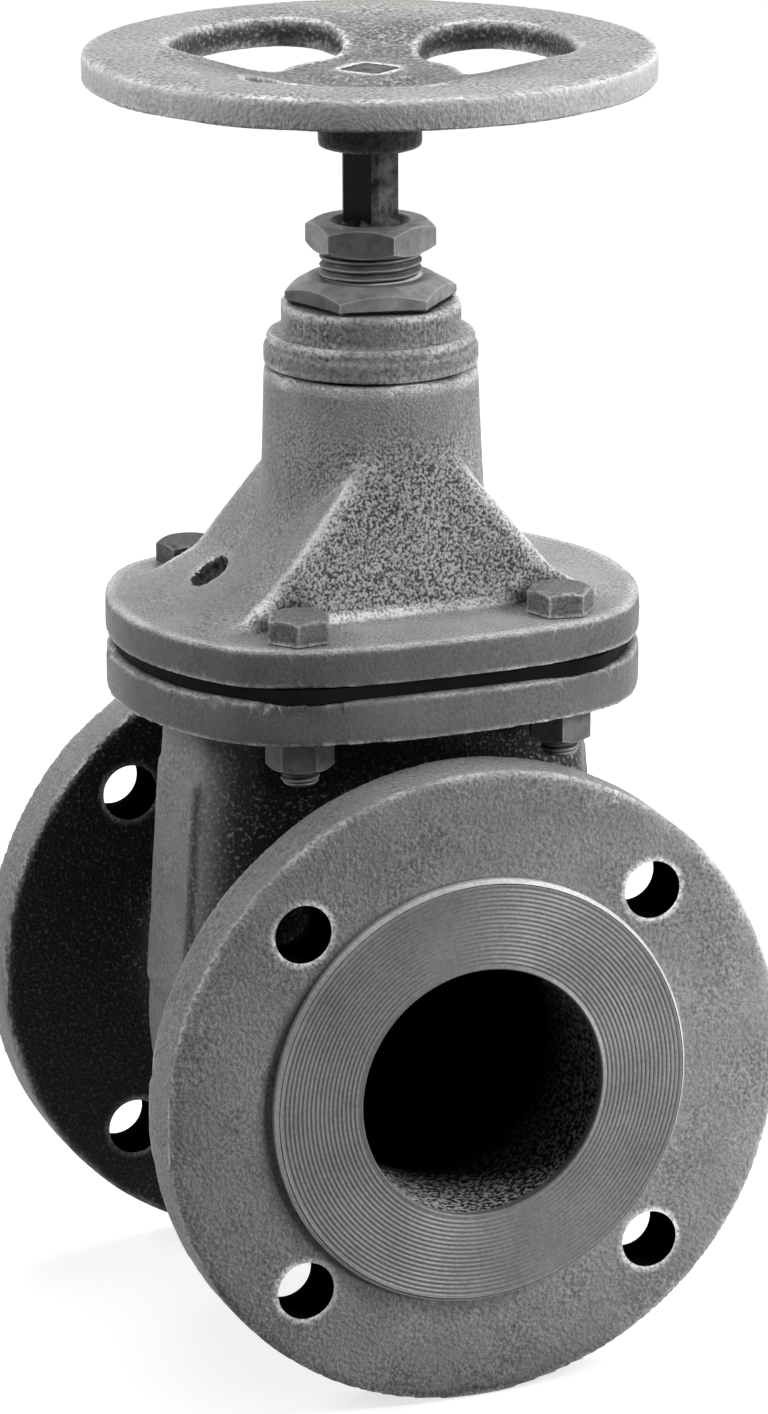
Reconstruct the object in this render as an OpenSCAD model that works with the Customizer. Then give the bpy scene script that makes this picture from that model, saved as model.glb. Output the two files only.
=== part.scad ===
/* [Pipe flanges] */
// Length from the inlet raised face to the outlet raised face
face_to_face = 180; // [150:1:240]
// Outside diameter of each pipe flange
flange_d = 200; // [170:1:240]
// Diameter of the pipe flange bolt circle
bolt_circle_d = 160; // [140:1:190]
// Diameter of the pipe flange bolt holes
flange_hole_d = 18; // [14:0.5:22]
// Diameter of the raised face
raised_face_d = 134; // [110:1:150]
// Height of the raised face
raised_face_h = 3; // [1:0.5:5]
// Thickness of the pipe flange behind the raised face
flange_t = 20; // [14:0.5:28]
// Rounding of the cast edges of the pipe flange
flange_edge_r = 1.5; // [0.5:0.5:3]

/* [Body] */
// Diameter of the waterway
bore_d = 78; // [60:1:90]
// Outside diameter of the pipe necks
neck_d = 99; // [86:1:115]
// Half width of the gate chamber at the bore axis
chamber_half_w = 70; // [60:0.5:80]
// Half width of the gate chamber under its top flange
chamber_top_half_w = 62; // [55:0.5:75]
// Half length of the gate chamber along the flow
chamber_half_l = 33; // [30:0.5:40]
// Wall of the gate chamber
chamber_wall = 8; // [5:0.5:12]
// Outside corner radius of the gate chamber
chamber_corner_r = 21; // [12:0.5:26]
// Fillet where the pipe necks meet the flanges
neck_fillet_r = 8; // [3:0.5:12]
// Width of the guide channels for the gate
guide_w = 10; // [7:0.5:14]
// Thickness of the two ribs of each guide channel
guide_rib_t = 5; // [3:0.5:7]
// Width of the raised pad on each side of the chamber
pad_w = 34; // [20:1:50]
// Lowest edge of the pad above the bore axis
pad_low_z = 12; // [0:1:30]
// Highest edge of the pad above the bore axis
pad_high_z = 84; // [60:1:98]
// How far the pad stands out of the chamber
pad_h = 1.5; // [0.5:0.5:4]

/* [Bonnet joint] */
// Diameter of the bonnet flanges before the flats are cut
bonnet_flange_d = 165; // [150:1:180]
// Corner rounding of the bonnet flanges, where the flats meet the round ends
flange_corner_r = 18; // [8:1:28]
// Height of the body top flange above the bore axis
body_top_z = 120; // [110:1:135]
// Thickness of the body top flange
body_top_t = 14; // [10:0.5:20]
// Thickness of the gasket
gasket_t = 4; // [2:0.5:6]
// How far the gasket stands back from the flange edges
gasket_inset = 3; // [1:0.5:6]
// Thickness of the bonnet flange
bonnet_flange_t = 12; // [9:0.5:16]
// Bonnet bolt spacing across the flow
bonnet_bolt_dx = 85; // [74:0.5:95]
// Bonnet bolt spacing along the flow
bonnet_bolt_dy = 96; // [90:0.5:104]
// Shank diameter of the bonnet bolts
bolt_d = 12; // [10:1:14]
// Width across flats of bolt heads and nuts
bolt_af = 18; // [15:0.5:22]
// Height of the bolt heads
bolt_head_h = 7.5; // [6:0.5:10]
// Height of the nuts
bolt_nut_h = 10; // [8:0.5:12]

/* [Bonnet] */
// Half width of the dome foot across the flow
dome_foot_x = 54; // [46:0.5:60]
// Half length of the dome foot along the flow
dome_foot_y = 37; // [32:0.5:38]
// Half width of the dome shoulder across the flow
dome_top_x = 15; // [10:0.5:30]
// Half length of the dome shoulder along the flow
dome_top_y = 32; // [28:0.5:36]
// Height of the dome shoulder above the bonnet flange
dome_h = 48; // [40:0.5:60]
// Rounding of the four ridges of the dome
dome_ridge_r = 3; // [2:0.5:9]
// How far the sides of the dome flare out at the foot
dome_flare = 9; // [4:0.5:11]
// Wall of the dome
dome_wall = 8; // [5:0.5:10]
// Diameter of the bonnet neck at its top
bonnet_neck_d = 66; // [56:0.5:76]
// Diameter of the bonnet neck at its foot
bonnet_neck_foot_d = 71; // [60:0.5:80]
// Height of the neck top above the bonnet flange
bonnet_neck_h = 70.5; // [60:0.5:84]

/* [Stuffing box] */
// Height of the wide collar on the neck
collar_h = 7; // [4:0.5:10]
// Diameter of the collar step
step_d = 63.6; // [50:0.1:70]
// Height of the collar step
step_h = 3.5; // [2:0.5:6]
// Diameter of the stuffing box barrel
barrel_d = 56; // [46:0.5:62]
// Width across the two spanner flats of the barrel
barrel_af = 54.4; // [44:0.1:60]
// Direction that the first spanner flat faces
barrel_turn = 165; // [0:1:179]
// Height of the stuffing box barrel
barrel_h = 9.3; // [6:0.1:14]
// Width across flats of the gland hexagon
gland_af = 46; // [36:0.5:52]
// Direction of the first corner of the gland hexagon
gland_turn = 48; // [0:1:59]
// Height of the gland hexagon
gland_h = 7.7; // [5:0.1:12]
// Diameter of the gland nose
nose_d = 31.7; // [26:0.1:38]
// Height of the gland nose
nose_h = 8; // [5:0.5:12]
// Width across flats of the packing nut
packing_nut_af = 35; // [30:0.5:42]
// Direction of the first corner of the packing nut
packing_nut_turn = 29; // [0:1:59]
// Height of the packing nut
packing_nut_h = 9; // [6:0.5:14]

/* [Stem and gate] */
// Diameter of the stem
stem_d = 18; // [14:0.5:20]
// Width across flats of the square on the stem
stem_square = 13.5; // [10:0.1:16]
// Running clearance round the stem
stem_clear = 0.3; // [0.1:0.05:0.6]
// Diameter of the gate
gate_d = 88; // [70:1:96]
// Half thickness of the gate at its centre
gate_half_t = 16; // [13:0.5:18]
// Angle of each gate face
gate_angle = 5; // [3:0.5:6]
// Clearance left between gate and seats when shut
seat_clear = 0.5; // [0.3:0.1:1]
// Running clearance of the gate in its guide channels
guide_clear = 1; // [0.5:0.1:2]
// Clearance of the stem nut in its slot
nut_clear = 0.2; // [0.1:0.05:0.5]
// How far the gate is lifted
gate_lift = 84; // [0:1:84]
// Outside diameter of the seat rings
seat_d = 92; // [80:1:98]

/* [Handwheel] */
// Outside diameter of the handwheel
wheel_d = 174; // [140:1:220]
// Height of the rim crest above the bore axis
wheel_top_z = 304.5; // [290:0.5:330]
// Width of the rim
rim_w = 25; // [16:0.5:32]
// Thickness of the rim
rim_t = 10.5; // [6:0.5:14]
// Width of the spokes at the waist
spoke_w = 24; // [14:0.5:32]
// Direction of the first spoke
spoke_turn = 63; // [0:1:119]
// Diameter of the hub boss
hub_d = 32; // [26:0.5:40]
// Height of the hub below the rim crest
hub_drop = 8; // [4:0.5:14]
// Length of the hub boss
hub_len = 23; // [14:0.5:30]

/* [Hidden] */
$fn = 96;
mid_y = face_to_face / 2;
flange_full = flange_t + raised_face_h;
flat_half = mid_y - flange_full;
body_flange_z = body_top_z - body_top_t;
bonnet_z = body_top_z + gasket_t;
dome_z = bonnet_z + bonnet_flange_t;
dome_top_z = dome_z + dome_h;
neck_top_z = dome_z + bonnet_neck_h;
box_r = bonnet_neck_d / 2 - 15;
box_depth = 16.5;
box_floor_z = neck_top_z - box_depth;
thrust_h = 7.5;
groove_h = 0.6;
collar_top_z = neck_top_z + collar_h;
step_top_z = collar_top_z + step_h;
barrel_top_z = step_top_z + barrel_h;
gland_top_z = barrel_top_z + gland_h;
nose_top_z = gland_top_z + nose_h;
packing_top_z = nose_top_z + packing_nut_h;
hub_top_z = wheel_top_z - hub_drop;
hub_foot_z = hub_top_z - hub_len;
stem_top_z = hub_top_z + 0.5;
stem_r = stem_d / 2;
stem_hole_r = stem_r + stem_clear;
packing_r = stem_r + 5;
square_turn = 33;
gate_r = gate_d / 2;
gate_face_t = 2;
slot_floor = gate_r + 6;
slot_flange_h = 8;
slot_flange_y = 15;
slot_neck_y = 12;
lug_x = 17;
lug_top = slot_floor + slot_flange_h + 8;
nut_top = lug_top + 6;
stem_foot_z = slot_floor + 6;
guide_tip_x = seat_d / 2 + 0.5;
guide_foot_z = -30;
cavity_half_w = chamber_half_w - chamber_wall - 1;
cavity_top_half_w = chamber_top_half_w - chamber_wall - 1;
cavity_half_l = chamber_half_l - chamber_wall;
cavity_corner_r = chamber_corner_r - chamber_wall;
seat_depth = 3;
dome_in_x = dome_foot_x - dome_wall;
dome_in_y = dome_foot_y - dome_wall;
cavity_roof_z = dome_top_z - 9;
iron = [0.42, 0.42, 0.42];
rubber = [0.06, 0.06, 0.06];
zinc = [0.5, 0.5, 0.5];
brass = [0.7, 0.55, 0.3];
steel = [0.3, 0.3, 0.31];

// points round a circle of radius r about c, from angle a0 to a1
function arc_points(c, r, a0, a1, steps) =
  [for (i = [0:steps]) c + r * [cos(a0 + (a1 - a0) * i / steps), sin(a0 + (a1 - a0) * i / steps)]];

// a profile turned about the flow axis, with its second coordinate along the flow
module turned_along_flow() {
  rotate([-90, 0, 0])
    rotate_extrude()
      children();
}

// a round bar along the flow, from y0 to y1
module along_flow(d, y0, y1) {
  translate([0, y0, 0])
    rotate([-90, 0, 0])
      cylinder(d = d, h = y1 - y0);
}

// the inlet half as made, and its mirror image for the outlet
module both_ends() {
  children();
  translate([0, face_to_face, 0])
    rotate([0, 0, 180])
      children();
}

// a hexagonal bar with its flats across af and its first corner at angle turn
module hex_bar(af, h, turn = 0) {
  rotate([0, 0, turn])
    cylinder(d = af / cos(30), h = h, $fn = 6);
}

// a hexagon with its corners turned off at the top, and at the foot if foot is 1
module chamfered_hex(af, h, turn, chamfer, foot = 0) {
  r = af / 2 / cos(30);
  intersection() {
    hex_bar(af, h, turn);
    rotate_extrude()
      polygon([[0, 0], [foot == 1 ? af / 2 - 0.5 : r + 1, 0], [r + 1, foot == 1 ? chamfer : 0.1],
        [r + 1, h - chamfer], [af / 2 - 0.5, h], [0, h]]);
  }
}

// a rectangle with rounded corners, given by its half sizes
module round_rect(hx, hy, r) {
  square([2 * hx - 2 * r, 2 * hy], center = true);
  square([2 * hx, 2 * hy - 2 * r], center = true);
  for (sx = [-1, 1], sy = [-1, 1])
    translate([sx * (hx - r), sy * (hy - r)])
      circle(r = r);
}

// the shared outline of both bonnet flanges and the gasket: round ends, two flats, rounded corners
module flange_outline(inset) {
  r = bonnet_flange_d / 2 - inset;
  h = flat_half - inset;
  rc = flange_corner_r - inset;
  xc = sqrt(max(0, (r - rc) * (r - rc) - (h - rc) * (h - rc)));
  a = atan2(h - rc, xc);
  // flats that lie outside the round ends cut nothing off, so the outline is then a circle
  if (a + 8 < 90)
    polygon(concat(
      arc_points([0, 0], r, -a, a, 16),
      arc_points([xc, h - rc], rc, a + 8, 90, 5),
      arc_points([-xc, h - rc], rc, 90, 172 - a, 5),
      arc_points([0, 0], r, 180 - a, 180 + a, 16),
      arc_points([-xc, rc - h], rc, 188 + a, 270, 5),
      arc_points([xc, rc - h], rc, 270, 352 - a, 5)));
  else
    circle(r = r);
}

// a flange plate of that outline with its long edges broken
module flange_plate(t) {
  edge = 1;
  translate([0, 0, edge])
    linear_extrude(t - 2 * edge)
      flange_outline(0);
  linear_extrude(t)
    flange_outline(edge);
}

// the gate chamber: a disc across the flow with a rounded rim, drawn up to the top flange
module chamber_form(w0, w1, hl, r, z1) {
  hull() {
    translate([0, -hl, 0])
      turned_along_flow($fn = 32)
        polygon(concat([[0, 0]],
          arc_points([w0 - r, r], r, -90, 0, 4),
          arc_points([w0 - r, 2 * hl - r], r, 0, 90, 4),
          [[0, 2 * hl]]));
    translate([0, 0, z1 - 1])
      linear_extrude(1)
        round_rect(w1, hl, r, $fn = 24);
  }
}

module bolt_places() {
  for (sx = [-1, 1], sy = [-1, 1])
    translate([sx * bonnet_bolt_dx / 2, mid_y + sy * bonnet_bolt_dy / 2, 0])
      children();
}

// a pipe flange and its neck, turned in one, from the raised face to the chamber
module pipe_end() {
  rn = neck_d / 2;
  rf = flange_d / 2;
  e = flange_edge_r;
  f = neck_fillet_r;
  wall_y = mid_y - chamber_half_l;
  neck_overlap = 6;
  turned_along_flow()
    polygon(concat(
      [[0, 0], [raised_face_d / 2 - 0.5, 0], [raised_face_d / 2, 0.5], [raised_face_d / 2, raised_face_h]],
      arc_points([rf - e, raised_face_h + e], e, -90, 0, 3),
      arc_points([rf - e, flange_full - e], e, 0, 90, 3),
      arc_points([rn + f, flange_full + f], f, 270, 180, 6),
      [[rn, wall_y + neck_overlap], [0, wall_y + neck_overlap]]));
}

module pipe_flange_holes() {
  for (a = [45, 135, 225, 315])
    rotate([0, a, 0])
      translate([bolt_circle_d / 2, 0, 0])
        along_flow(flange_hole_d, -1, flange_full + 1);
}

// the two upright ribs on one side wall, which make the channel that the gate slides in
module guide_channel() {
  wall_foot = sqrt(cavity_half_w * cavity_half_w - guide_foot_z * guide_foot_z) + 3;
  for (y = [-guide_w / 2 - guide_rib_t, guide_w / 2])
    translate([0, y + guide_rib_t, 0])
      rotate([90, 0, 0])
        linear_extrude(guide_rib_t)
          polygon([[guide_tip_x, guide_foot_z], [wall_foot, guide_foot_z], [cavity_half_w + 2, 0],
            [cavity_top_half_w + 2, body_top_z - 1], [guide_tip_x, body_top_z - 1]]);
}

module body_outside() {
  both_ends()
    pipe_end();
  translate([0, mid_y, 0]) {
    chamber_form(chamber_half_w, chamber_top_half_w, chamber_half_l, chamber_corner_r, body_top_z - 1);
    intersection() {
      chamber_form(chamber_half_w + pad_h, chamber_top_half_w + pad_h, chamber_half_l,
        chamber_corner_r, body_top_z - 1);
      translate([-flange_d, -pad_w / 2, pad_low_z])
        cube([2 * flange_d, pad_w, pad_high_z - pad_low_z]);
    }
    translate([0, 0, body_flange_z])
      flange_plate(body_top_t);
  }
}

module body() {
  color(iron) {
    difference() {
      body_outside();
      both_ends()
        pipe_flange_holes();
      along_flow(bore_d, -1, face_to_face + 1);
      along_flow(seat_d, mid_y - cavity_half_l - seat_depth, mid_y + cavity_half_l + seat_depth);
      translate([0, mid_y, 0])
        chamber_form(cavity_half_w, cavity_top_half_w, cavity_half_l, cavity_corner_r, body_top_z + 2);
      bolt_places()
        translate([0, 0, body_flange_z - 1])
          cylinder(d = bolt_d + 2, h = body_top_t + 2);
    }
    translate([0, mid_y, 0])
      for (a = [0, 180])
        rotate([0, 0, a])
          guide_channel();
  }
}

// one seat ring, on the inlet side, with its sloping face
module seat_ring() {
  difference() {
    along_flow(seat_d, -cavity_half_l - seat_depth, 0);
    along_flow(bore_d, -cavity_half_l - seat_depth - 1, 1);
    rotate([gate_angle, 0, 0])
      translate([-seat_d, -gate_half_t - seat_clear, -seat_d])
        cube([2 * seat_d, 3 * gate_half_t, 2 * seat_d]);
  }
}

module inlet_seat_ring() {
  color(brass)
    translate([0, mid_y, 0])
      seat_ring();
}

module outlet_seat_ring() {
  color(brass)
    translate([0, mid_y, 0])
      rotate([0, 0, 180])
        seat_ring();
}

// the wedge, as the space between two sloping planes, each set back by inset
module wedge_space(inset) {
  intersection() {
    rotate([gate_angle, 0, 0])
      translate([-gate_d, -gate_half_t + inset, -gate_d])
        cube([2 * gate_d, 3 * gate_d, 2 * gate_d]);
    rotate([-gate_angle, 0, 0])
      translate([-gate_d, gate_half_t - inset - 3 * gate_d, -gate_d])
        cube([2 * gate_d, 3 * gate_d, 2 * gate_d]);
  }
}

module gate_place() {
  translate([0, mid_y, gate_lift])
    children();
}

// an ear on each side of the gate, with the tongue that runs in its guide channel
module gate_ears() {
  ear_x = guide_tip_x - guide_clear;
  ear_y = guide_w / 2 + guide_rib_t;
  tongue_x = guide_tip_x + 6;
  tongue_y = guide_w / 2 - guide_clear;
  ear_foot = -24;
  ear_h = 56;
  translate([-ear_x, -ear_y, ear_foot])
    cube([2 * ear_x, 2 * ear_y, ear_h]);
  translate([-tongue_x, -tongue_y, ear_foot])
    cube([2 * tongue_x, 2 * tongue_y, ear_h]);
}

module gate() {
  color(iron)
    gate_place()
      difference() {
        union() {
          intersection() {
            union() {
              along_flow(gate_d, -gate_half_t * 2, gate_half_t * 2);
              gate_ears();
            }
            wedge_space(gate_face_t);
          }
          translate([0, 0, gate_r - 14])
            linear_extrude(lug_top - gate_r + 14)
              round_rect(lug_x, gate_half_t - 3, 5);
          translate([0, 0, gate_r + 0.5])
            linear_extrude(lug_top - gate_r - 0.5)
              round_rect(lug_x, slot_flange_y + 4.5, 5);
        }
        translate([0, 0, guide_foot_z])
          cylinder(r = stem_r + 1, h = gate_r + lug_top);
        translate([-lug_x - 1, -slot_flange_y - nut_clear, slot_floor])
          cube([2 * lug_x + 2, 2 * slot_flange_y + 2 * nut_clear, slot_flange_h + nut_clear]);
        translate([-lug_x - 1, -slot_neck_y - nut_clear, slot_floor])
          cube([2 * lug_x + 2, 2 * slot_neck_y + 2 * nut_clear, lug_top]);
      }
}

// one brass face of the gate, on the inlet side
module gate_face() {
  difference() {
    intersection() {
      along_flow(gate_d - 0.6, -gate_half_t * 2, gate_half_t * 2);
      wedge_space(0);
    }
    rotate([gate_angle, 0, 0])
      translate([-gate_d, -gate_half_t + gate_face_t, -gate_d])
        cube([2 * gate_d, 3 * gate_d, 2 * gate_d]);
    along_flow(bore_d - 10, -gate_half_t * 2, gate_half_t * 2);
  }
}

module gate_face_inlet() {
  color(brass)
    gate_place()
      gate_face();
}

module gate_face_outlet() {
  color(brass)
    gate_place()
      rotate([0, 0, 180])
        gate_face();
}

// the nut that the stem drives: a flanged block that drops sideways into the slot of the gate
module stem_nut() {
  color(brass)
    gate_place()
      difference() {
        union() {
          translate([1 - lug_x, -slot_flange_y, slot_floor])
            cube([2 * lug_x - 2, 2 * slot_flange_y, slot_flange_h]);
          translate([1 - lug_x, -slot_neck_y, slot_floor])
            cube([2 * lug_x - 2, 2 * slot_neck_y, nut_top - slot_floor]);
        }
        translate([0, 0, slot_floor - 1])
          cylinder(r = stem_hole_r, h = nut_top - slot_floor + 2);
      }
}

// the stem: a turned bar with a thrust collar, and a square with rounded corners for the wheel
module stem() {
  c = 1;
  collar_r = box_r - 1.5;
  color(steel)
    translate([0, mid_y, 0]) {
      rotate_extrude()
        polygon([[0, stem_foot_z], [stem_r - c, stem_foot_z], [stem_r, stem_foot_z + c],
          [stem_r, box_floor_z + 0.3], [collar_r, box_floor_z + 0.3],
          [collar_r, box_floor_z + thrust_h - 0.3], [stem_r, box_floor_z + thrust_h - 0.3],
          [stem_r, packing_top_z - 1], [stem_r - 2.5, packing_top_z + 1.5], [0, packing_top_z + 1.5]]);
      translate([0, 0, packing_top_z])
        stem_square_bar(stem_top_z - packing_top_z);
    }
}

// the square of the stem, with its corners left round from the bar
module stem_square_bar(h) {
  rotate([0, 0, square_turn])
    intersection() {
      rotate_extrude()
        polygon([[0, 0], [stem_r - 0.5, 0], [stem_r - 0.5, h - 1], [stem_r - 1.5, h], [0, h]]);
      translate([-stem_square / 2, -stem_square / 2, 0])
        cube([stem_square, stem_square, h]);
    }
}

module bonnet_gasket() {
  color(rubber)
    translate([0, mid_y, body_top_z])
      difference() {
        linear_extrude(gasket_t)
          flange_outline(gasket_inset);
        translate([0, 0, -1])
          linear_extrude(gasket_t + 2)
            round_rect(cavity_top_half_w, cavity_half_l, cavity_corner_r);
        translate([0, -mid_y, 0])
          bolt_places()
            translate([0, 0, -1])
              cylinder(d = bolt_d + 1, h = gasket_t + 2);
      }
}

// a four-sided dome between two rounded rectangles
module dome_form(x0, y0, x1, y1, r, h) {
  hull() {
    linear_extrude(0.5)
      round_rect(x0, y0, r, $fn = 32);
    translate([0, 0, h - 0.5])
      linear_extrude(0.5)
        round_rect(x1, y1, r, $fn = 32);
  }
}

module bonnet_outside() {
  rn = bonnet_neck_d / 2;
  rf = bonnet_neck_foot_d / 2;
  neck_foot_h = 8;
  front_flare = 2;
  flare_h = dome_flare + 1;
  flare_top_x = dome_foot_x - (dome_foot_x - dome_top_x) * flare_h / (dome_h + 1) + 0.3;
  translate([0, 0, bonnet_z])
    flange_plate(bonnet_flange_t);
  translate([0, 0, dome_z - 1])
    dome_form(dome_foot_x, dome_foot_y, dome_top_x, dome_top_y, dome_ridge_r, dome_h + 1);
  translate([0, 0, dome_z - 1])
    dome_form(dome_foot_x + dome_flare, dome_foot_y + front_flare, flare_top_x, dome_foot_y - 1,
      dome_ridge_r, flare_h);
  translate([0, 0, dome_z + neck_foot_h])
    rotate_extrude()
      polygon([[0, 0], [rf, 0], [rn, bonnet_neck_h - neck_foot_h - 1],
        [rn - 1, bonnet_neck_h - neck_foot_h], [0, bonnet_neck_h - neck_foot_h]]);
}

// the round dent low on one side of the dome
module dome_dent() {
  lean = atan((dome_flare + 8) / (dome_flare + 1));
  translate([-dome_foot_x + 4.4, mid_y + 10, dome_z + 7])
    rotate([0, -90 + lean, 0])
      translate([0, 0, 4.3])
        rotate_extrude($fn = 32)
          polygon(concat([[0, -7.8]], arc_points([0, 0], 7.8, -80, 80, 8), [[0, 7.8]]));
}

module bonnet() {
  color(iron)
    difference() {
      translate([0, mid_y, 0])
        bonnet_outside();
      dome_dent();
      translate([0, mid_y, bonnet_z - 1])
        dome_form(dome_in_x + 5, dome_in_y, dome_top_x + 3, dome_top_y - dome_wall, dome_ridge_r,
          cavity_roof_z - bonnet_z + 1);
      translate([0, mid_y, cavity_roof_z - 1])
        cylinder(r = stem_hole_r, h = neck_top_z - cavity_roof_z + 2);
      translate([0, mid_y, box_floor_z])
        cylinder(r = box_r, h = box_depth + 1);
      bolt_places() {
        translate([0, 0, bonnet_z - 1])
          cylinder(d = bolt_d + 2, h = bonnet_flange_t + 2);
        translate([0, 0, dome_z])
          cylinder(d = bolt_af / cos(30) + 7, h = dome_h);
      }
    }
}

// a hexagon-head bolt through both flanges, with its threaded end below the nut
module bonnet_bolt(sx, sy, turn) {
  tail = 5;
  foot_z = body_flange_z - bolt_nut_h - tail;
  color(zinc)
    translate([sx * bonnet_bolt_dx / 2, mid_y + sy * bonnet_bolt_dy / 2, 0]) {
      translate([0, 0, dome_z])
        chamfered_hex(bolt_af, bolt_head_h, turn, 1.2);
      translate([0, 0, foot_z])
        rotate_extrude()
          polygon([[0, 0], [bolt_d / 2 - 1.2, 0], [bolt_d / 2, 1.2],
            [bolt_d / 2, dome_z - foot_z + 1], [0, dome_z - foot_z + 1]]);
    }
}

module bonnet_nut(sx, sy, turn) {
  color(zinc)
    translate([sx * bonnet_bolt_dx / 2, mid_y + sy * bonnet_bolt_dy / 2,
      body_flange_z - bolt_nut_h])
      difference() {
        chamfered_hex(bolt_af, bolt_nut_h, turn, 1.2, 1);
        translate([0, 0, -1])
          cylinder(d = bolt_d, h = bolt_nut_h + 2);
      }
}

module bonnet_bolt_1() {
  bonnet_bolt(-1, -1, 8);
}

module bonnet_bolt_2() {
  bonnet_bolt(1, -1, 49);
}

module bonnet_bolt_3() {
  bonnet_bolt(1, 1, 17);
}

module bonnet_bolt_4() {
  bonnet_bolt(-1, 1, 41);
}

module bonnet_nut_1() {
  bonnet_nut(-1, -1, 38);
}

module bonnet_nut_2() {
  bonnet_nut(1, -1, 12);
}

module bonnet_nut_3() {
  bonnet_nut(1, 1, 50);
}

module bonnet_nut_4() {
  bonnet_nut(-1, 1, 25);
}

// the stepped box screwed into the neck, with two spanner flats on its barrel
module stuffing_box() {
  foot_z = box_floor_z + thrust_h;
  rc = bonnet_neck_d / 2;
  rs = step_d / 2;
  rb = barrel_d / 2;
  color(iron)
    translate([0, mid_y, 0])
      difference() {
        rotate_extrude()
          polygon([[0, foot_z], [box_r, foot_z], [box_r, neck_top_z], [rc - 2, neck_top_z],
            [rc - 2, neck_top_z + groove_h], [rc, neck_top_z + groove_h + 0.6],
            [rc, collar_top_z - 0.8], [rc - 0.8, collar_top_z], [rs, collar_top_z],
            [rs, step_top_z - 1], [rs - 1, step_top_z], [rb, step_top_z],
            [rb, barrel_top_z - 1], [rb - 1, barrel_top_z], [0, barrel_top_z]]);
        for (a = [0, 180])
          rotate([0, 0, barrel_turn + a])
            translate([barrel_af / 2, -rb, step_top_z + 0.6])
              cube([rb, 2 * rb, barrel_h]);
        translate([0, 0, foot_z - 1])
          cylinder(r = stem_hole_r, h = barrel_top_z - foot_z + 2);
        translate([0, 0, neck_top_z])
          cylinder(r = packing_r, h = barrel_top_z - neck_top_z + 1);
      }
}

module stem_packing() {
  color(rubber)
    translate([0, mid_y, neck_top_z])
      difference() {
        cylinder(r = packing_r, h = barrel_top_z - neck_top_z);
        translate([0, 0, -1])
          cylinder(r = stem_hole_r, h = barrel_top_z - neck_top_z + 2);
      }
}

// the gland: a hexagon turned to a wide cone on top, with a round threaded nose
module gland() {
  r0 = gland_af / 2 / cos(30);
  rn = nose_d / 2;
  cone_h = gland_h * 0.6;
  cone_r = rn + 3.5;
  color(zinc)
    translate([0, mid_y, barrel_top_z])
      difference() {
        union() {
          intersection() {
            hex_bar(gland_af, gland_h, gland_turn);
            rotate_extrude()
              polygon([[0, 0], [r0 + 1, 0], [r0 + 1, gland_h - cone_h], [cone_r, gland_h], [0, gland_h]]);
          }
          rotate_extrude()
            polygon([[0, 0], [rn - 1, 0], [rn - 1, gland_h + 1], [rn, gland_h + 2],
              [rn, gland_h + nose_h - 1], [rn - 1, gland_h + nose_h], [0, gland_h + nose_h]]);
        }
        translate([0, 0, -1])
          cylinder(r = stem_hole_r, h = gland_h + nose_h + 2);
      }
}

module packing_nut() {
  color(zinc)
    translate([0, mid_y, nose_top_z])
      difference() {
        chamfered_hex(packing_nut_af, packing_nut_h, packing_nut_turn, 1.8, 1);
        translate([0, 0, -1])
          cylinder(r = stem_hole_r, h = packing_nut_h + 2);
        translate([0, 0, packing_nut_h - 3])
          cylinder(r1 = stem_hole_r, r2 = stem_hole_r + 3.5, h = 3.5);
      }
}

// one kidney window of the handwheel, centred on +X
module wheel_window() {
  r_out = wheel_d / 2 - rim_w + 0.5;
  r_in = hub_d / 2 + 12;
  r_end = (r_out - r_in) / 2;
  r_mid = (r_out + r_in) / 2;
  t = 60 - asin((spoke_w / 2 + r_end) / r_mid);
  polygon(concat(
    arc_points([0, 0], r_out, -t, t, 12),
    arc_points(r_mid * [cos(t), sin(t)], r_end, t + 12, t + 168, 13),
    arc_points([0, 0], r_in, t, -t, 8),
    arc_points(r_mid * [cos(t), -sin(t)], r_end, 192 - t, 348 - t, 13)));
}

// half section of the wheel, hub and rim in one, its crest at height 0
module wheel_section() {
  r = wheel_d / 2;
  ri = r - rim_w;
  rb = hub_d / 2;
  web_t = 8;
  steps = 4;
  dish = [for (i = [0:steps])
    [ri + (rb + 2 - ri) * i / steps, -2 - (hub_drop - 2) * (1 - cos(180 * i / steps)) / 2]];
  polygon(concat(
    [[0, -hub_drop - hub_len], [rb - 2, -hub_drop - hub_len], [rb, 2 - hub_drop - hub_len],
      [rb, -hub_drop - web_t - 3], [rb + 5, -hub_drop - web_t], [ri, -rim_t]],
    arc_points([r - 2.5, 2.5 - rim_t], 2.5, -90, 0, 3),
    arc_points([r - 2.5, -3.3], 2.5, 0, 90, 4),
    [[r - 10, 0], [ri + 6, -0.4]],
    dish,
    [[0, -hub_drop]]));
}

module handwheel() {
  color(iron)
    translate([0, mid_y, 0])
      difference() {
        translate([0, 0, wheel_top_z])
          rotate_extrude()
            wheel_section();
        for (a = [60, 180, 300])
          rotate([0, 0, a + spoke_turn])
            translate([0, 0, hub_foot_z])
              linear_extrude(2 * hub_len)
                wheel_window();
        translate([0, 0, hub_foot_z - 1])
          rotate([0, 0, square_turn])
            linear_extrude(hub_len + 2)
              intersection() {
                circle(r = stem_r - 0.5);
                square(stem_square, center = true);
              }
      }
}

body();
inlet_seat_ring();
outlet_seat_ring();
gate();
gate_face_inlet();
gate_face_outlet();
stem_nut();
stem();
bonnet_gasket();
bonnet();
bonnet_bolt_1();
bonnet_bolt_2();
bonnet_bolt_3();
bonnet_bolt_4();
bonnet_nut_1();
bonnet_nut_2();
bonnet_nut_3();
bonnet_nut_4();
stuffing_box();
stem_packing();
gland();
packing_nut();
handwheel();
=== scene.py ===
import math

import bmesh
import bpy
import numpy as np
import openvdb
from mathutils import Matrix, Vector


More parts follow.
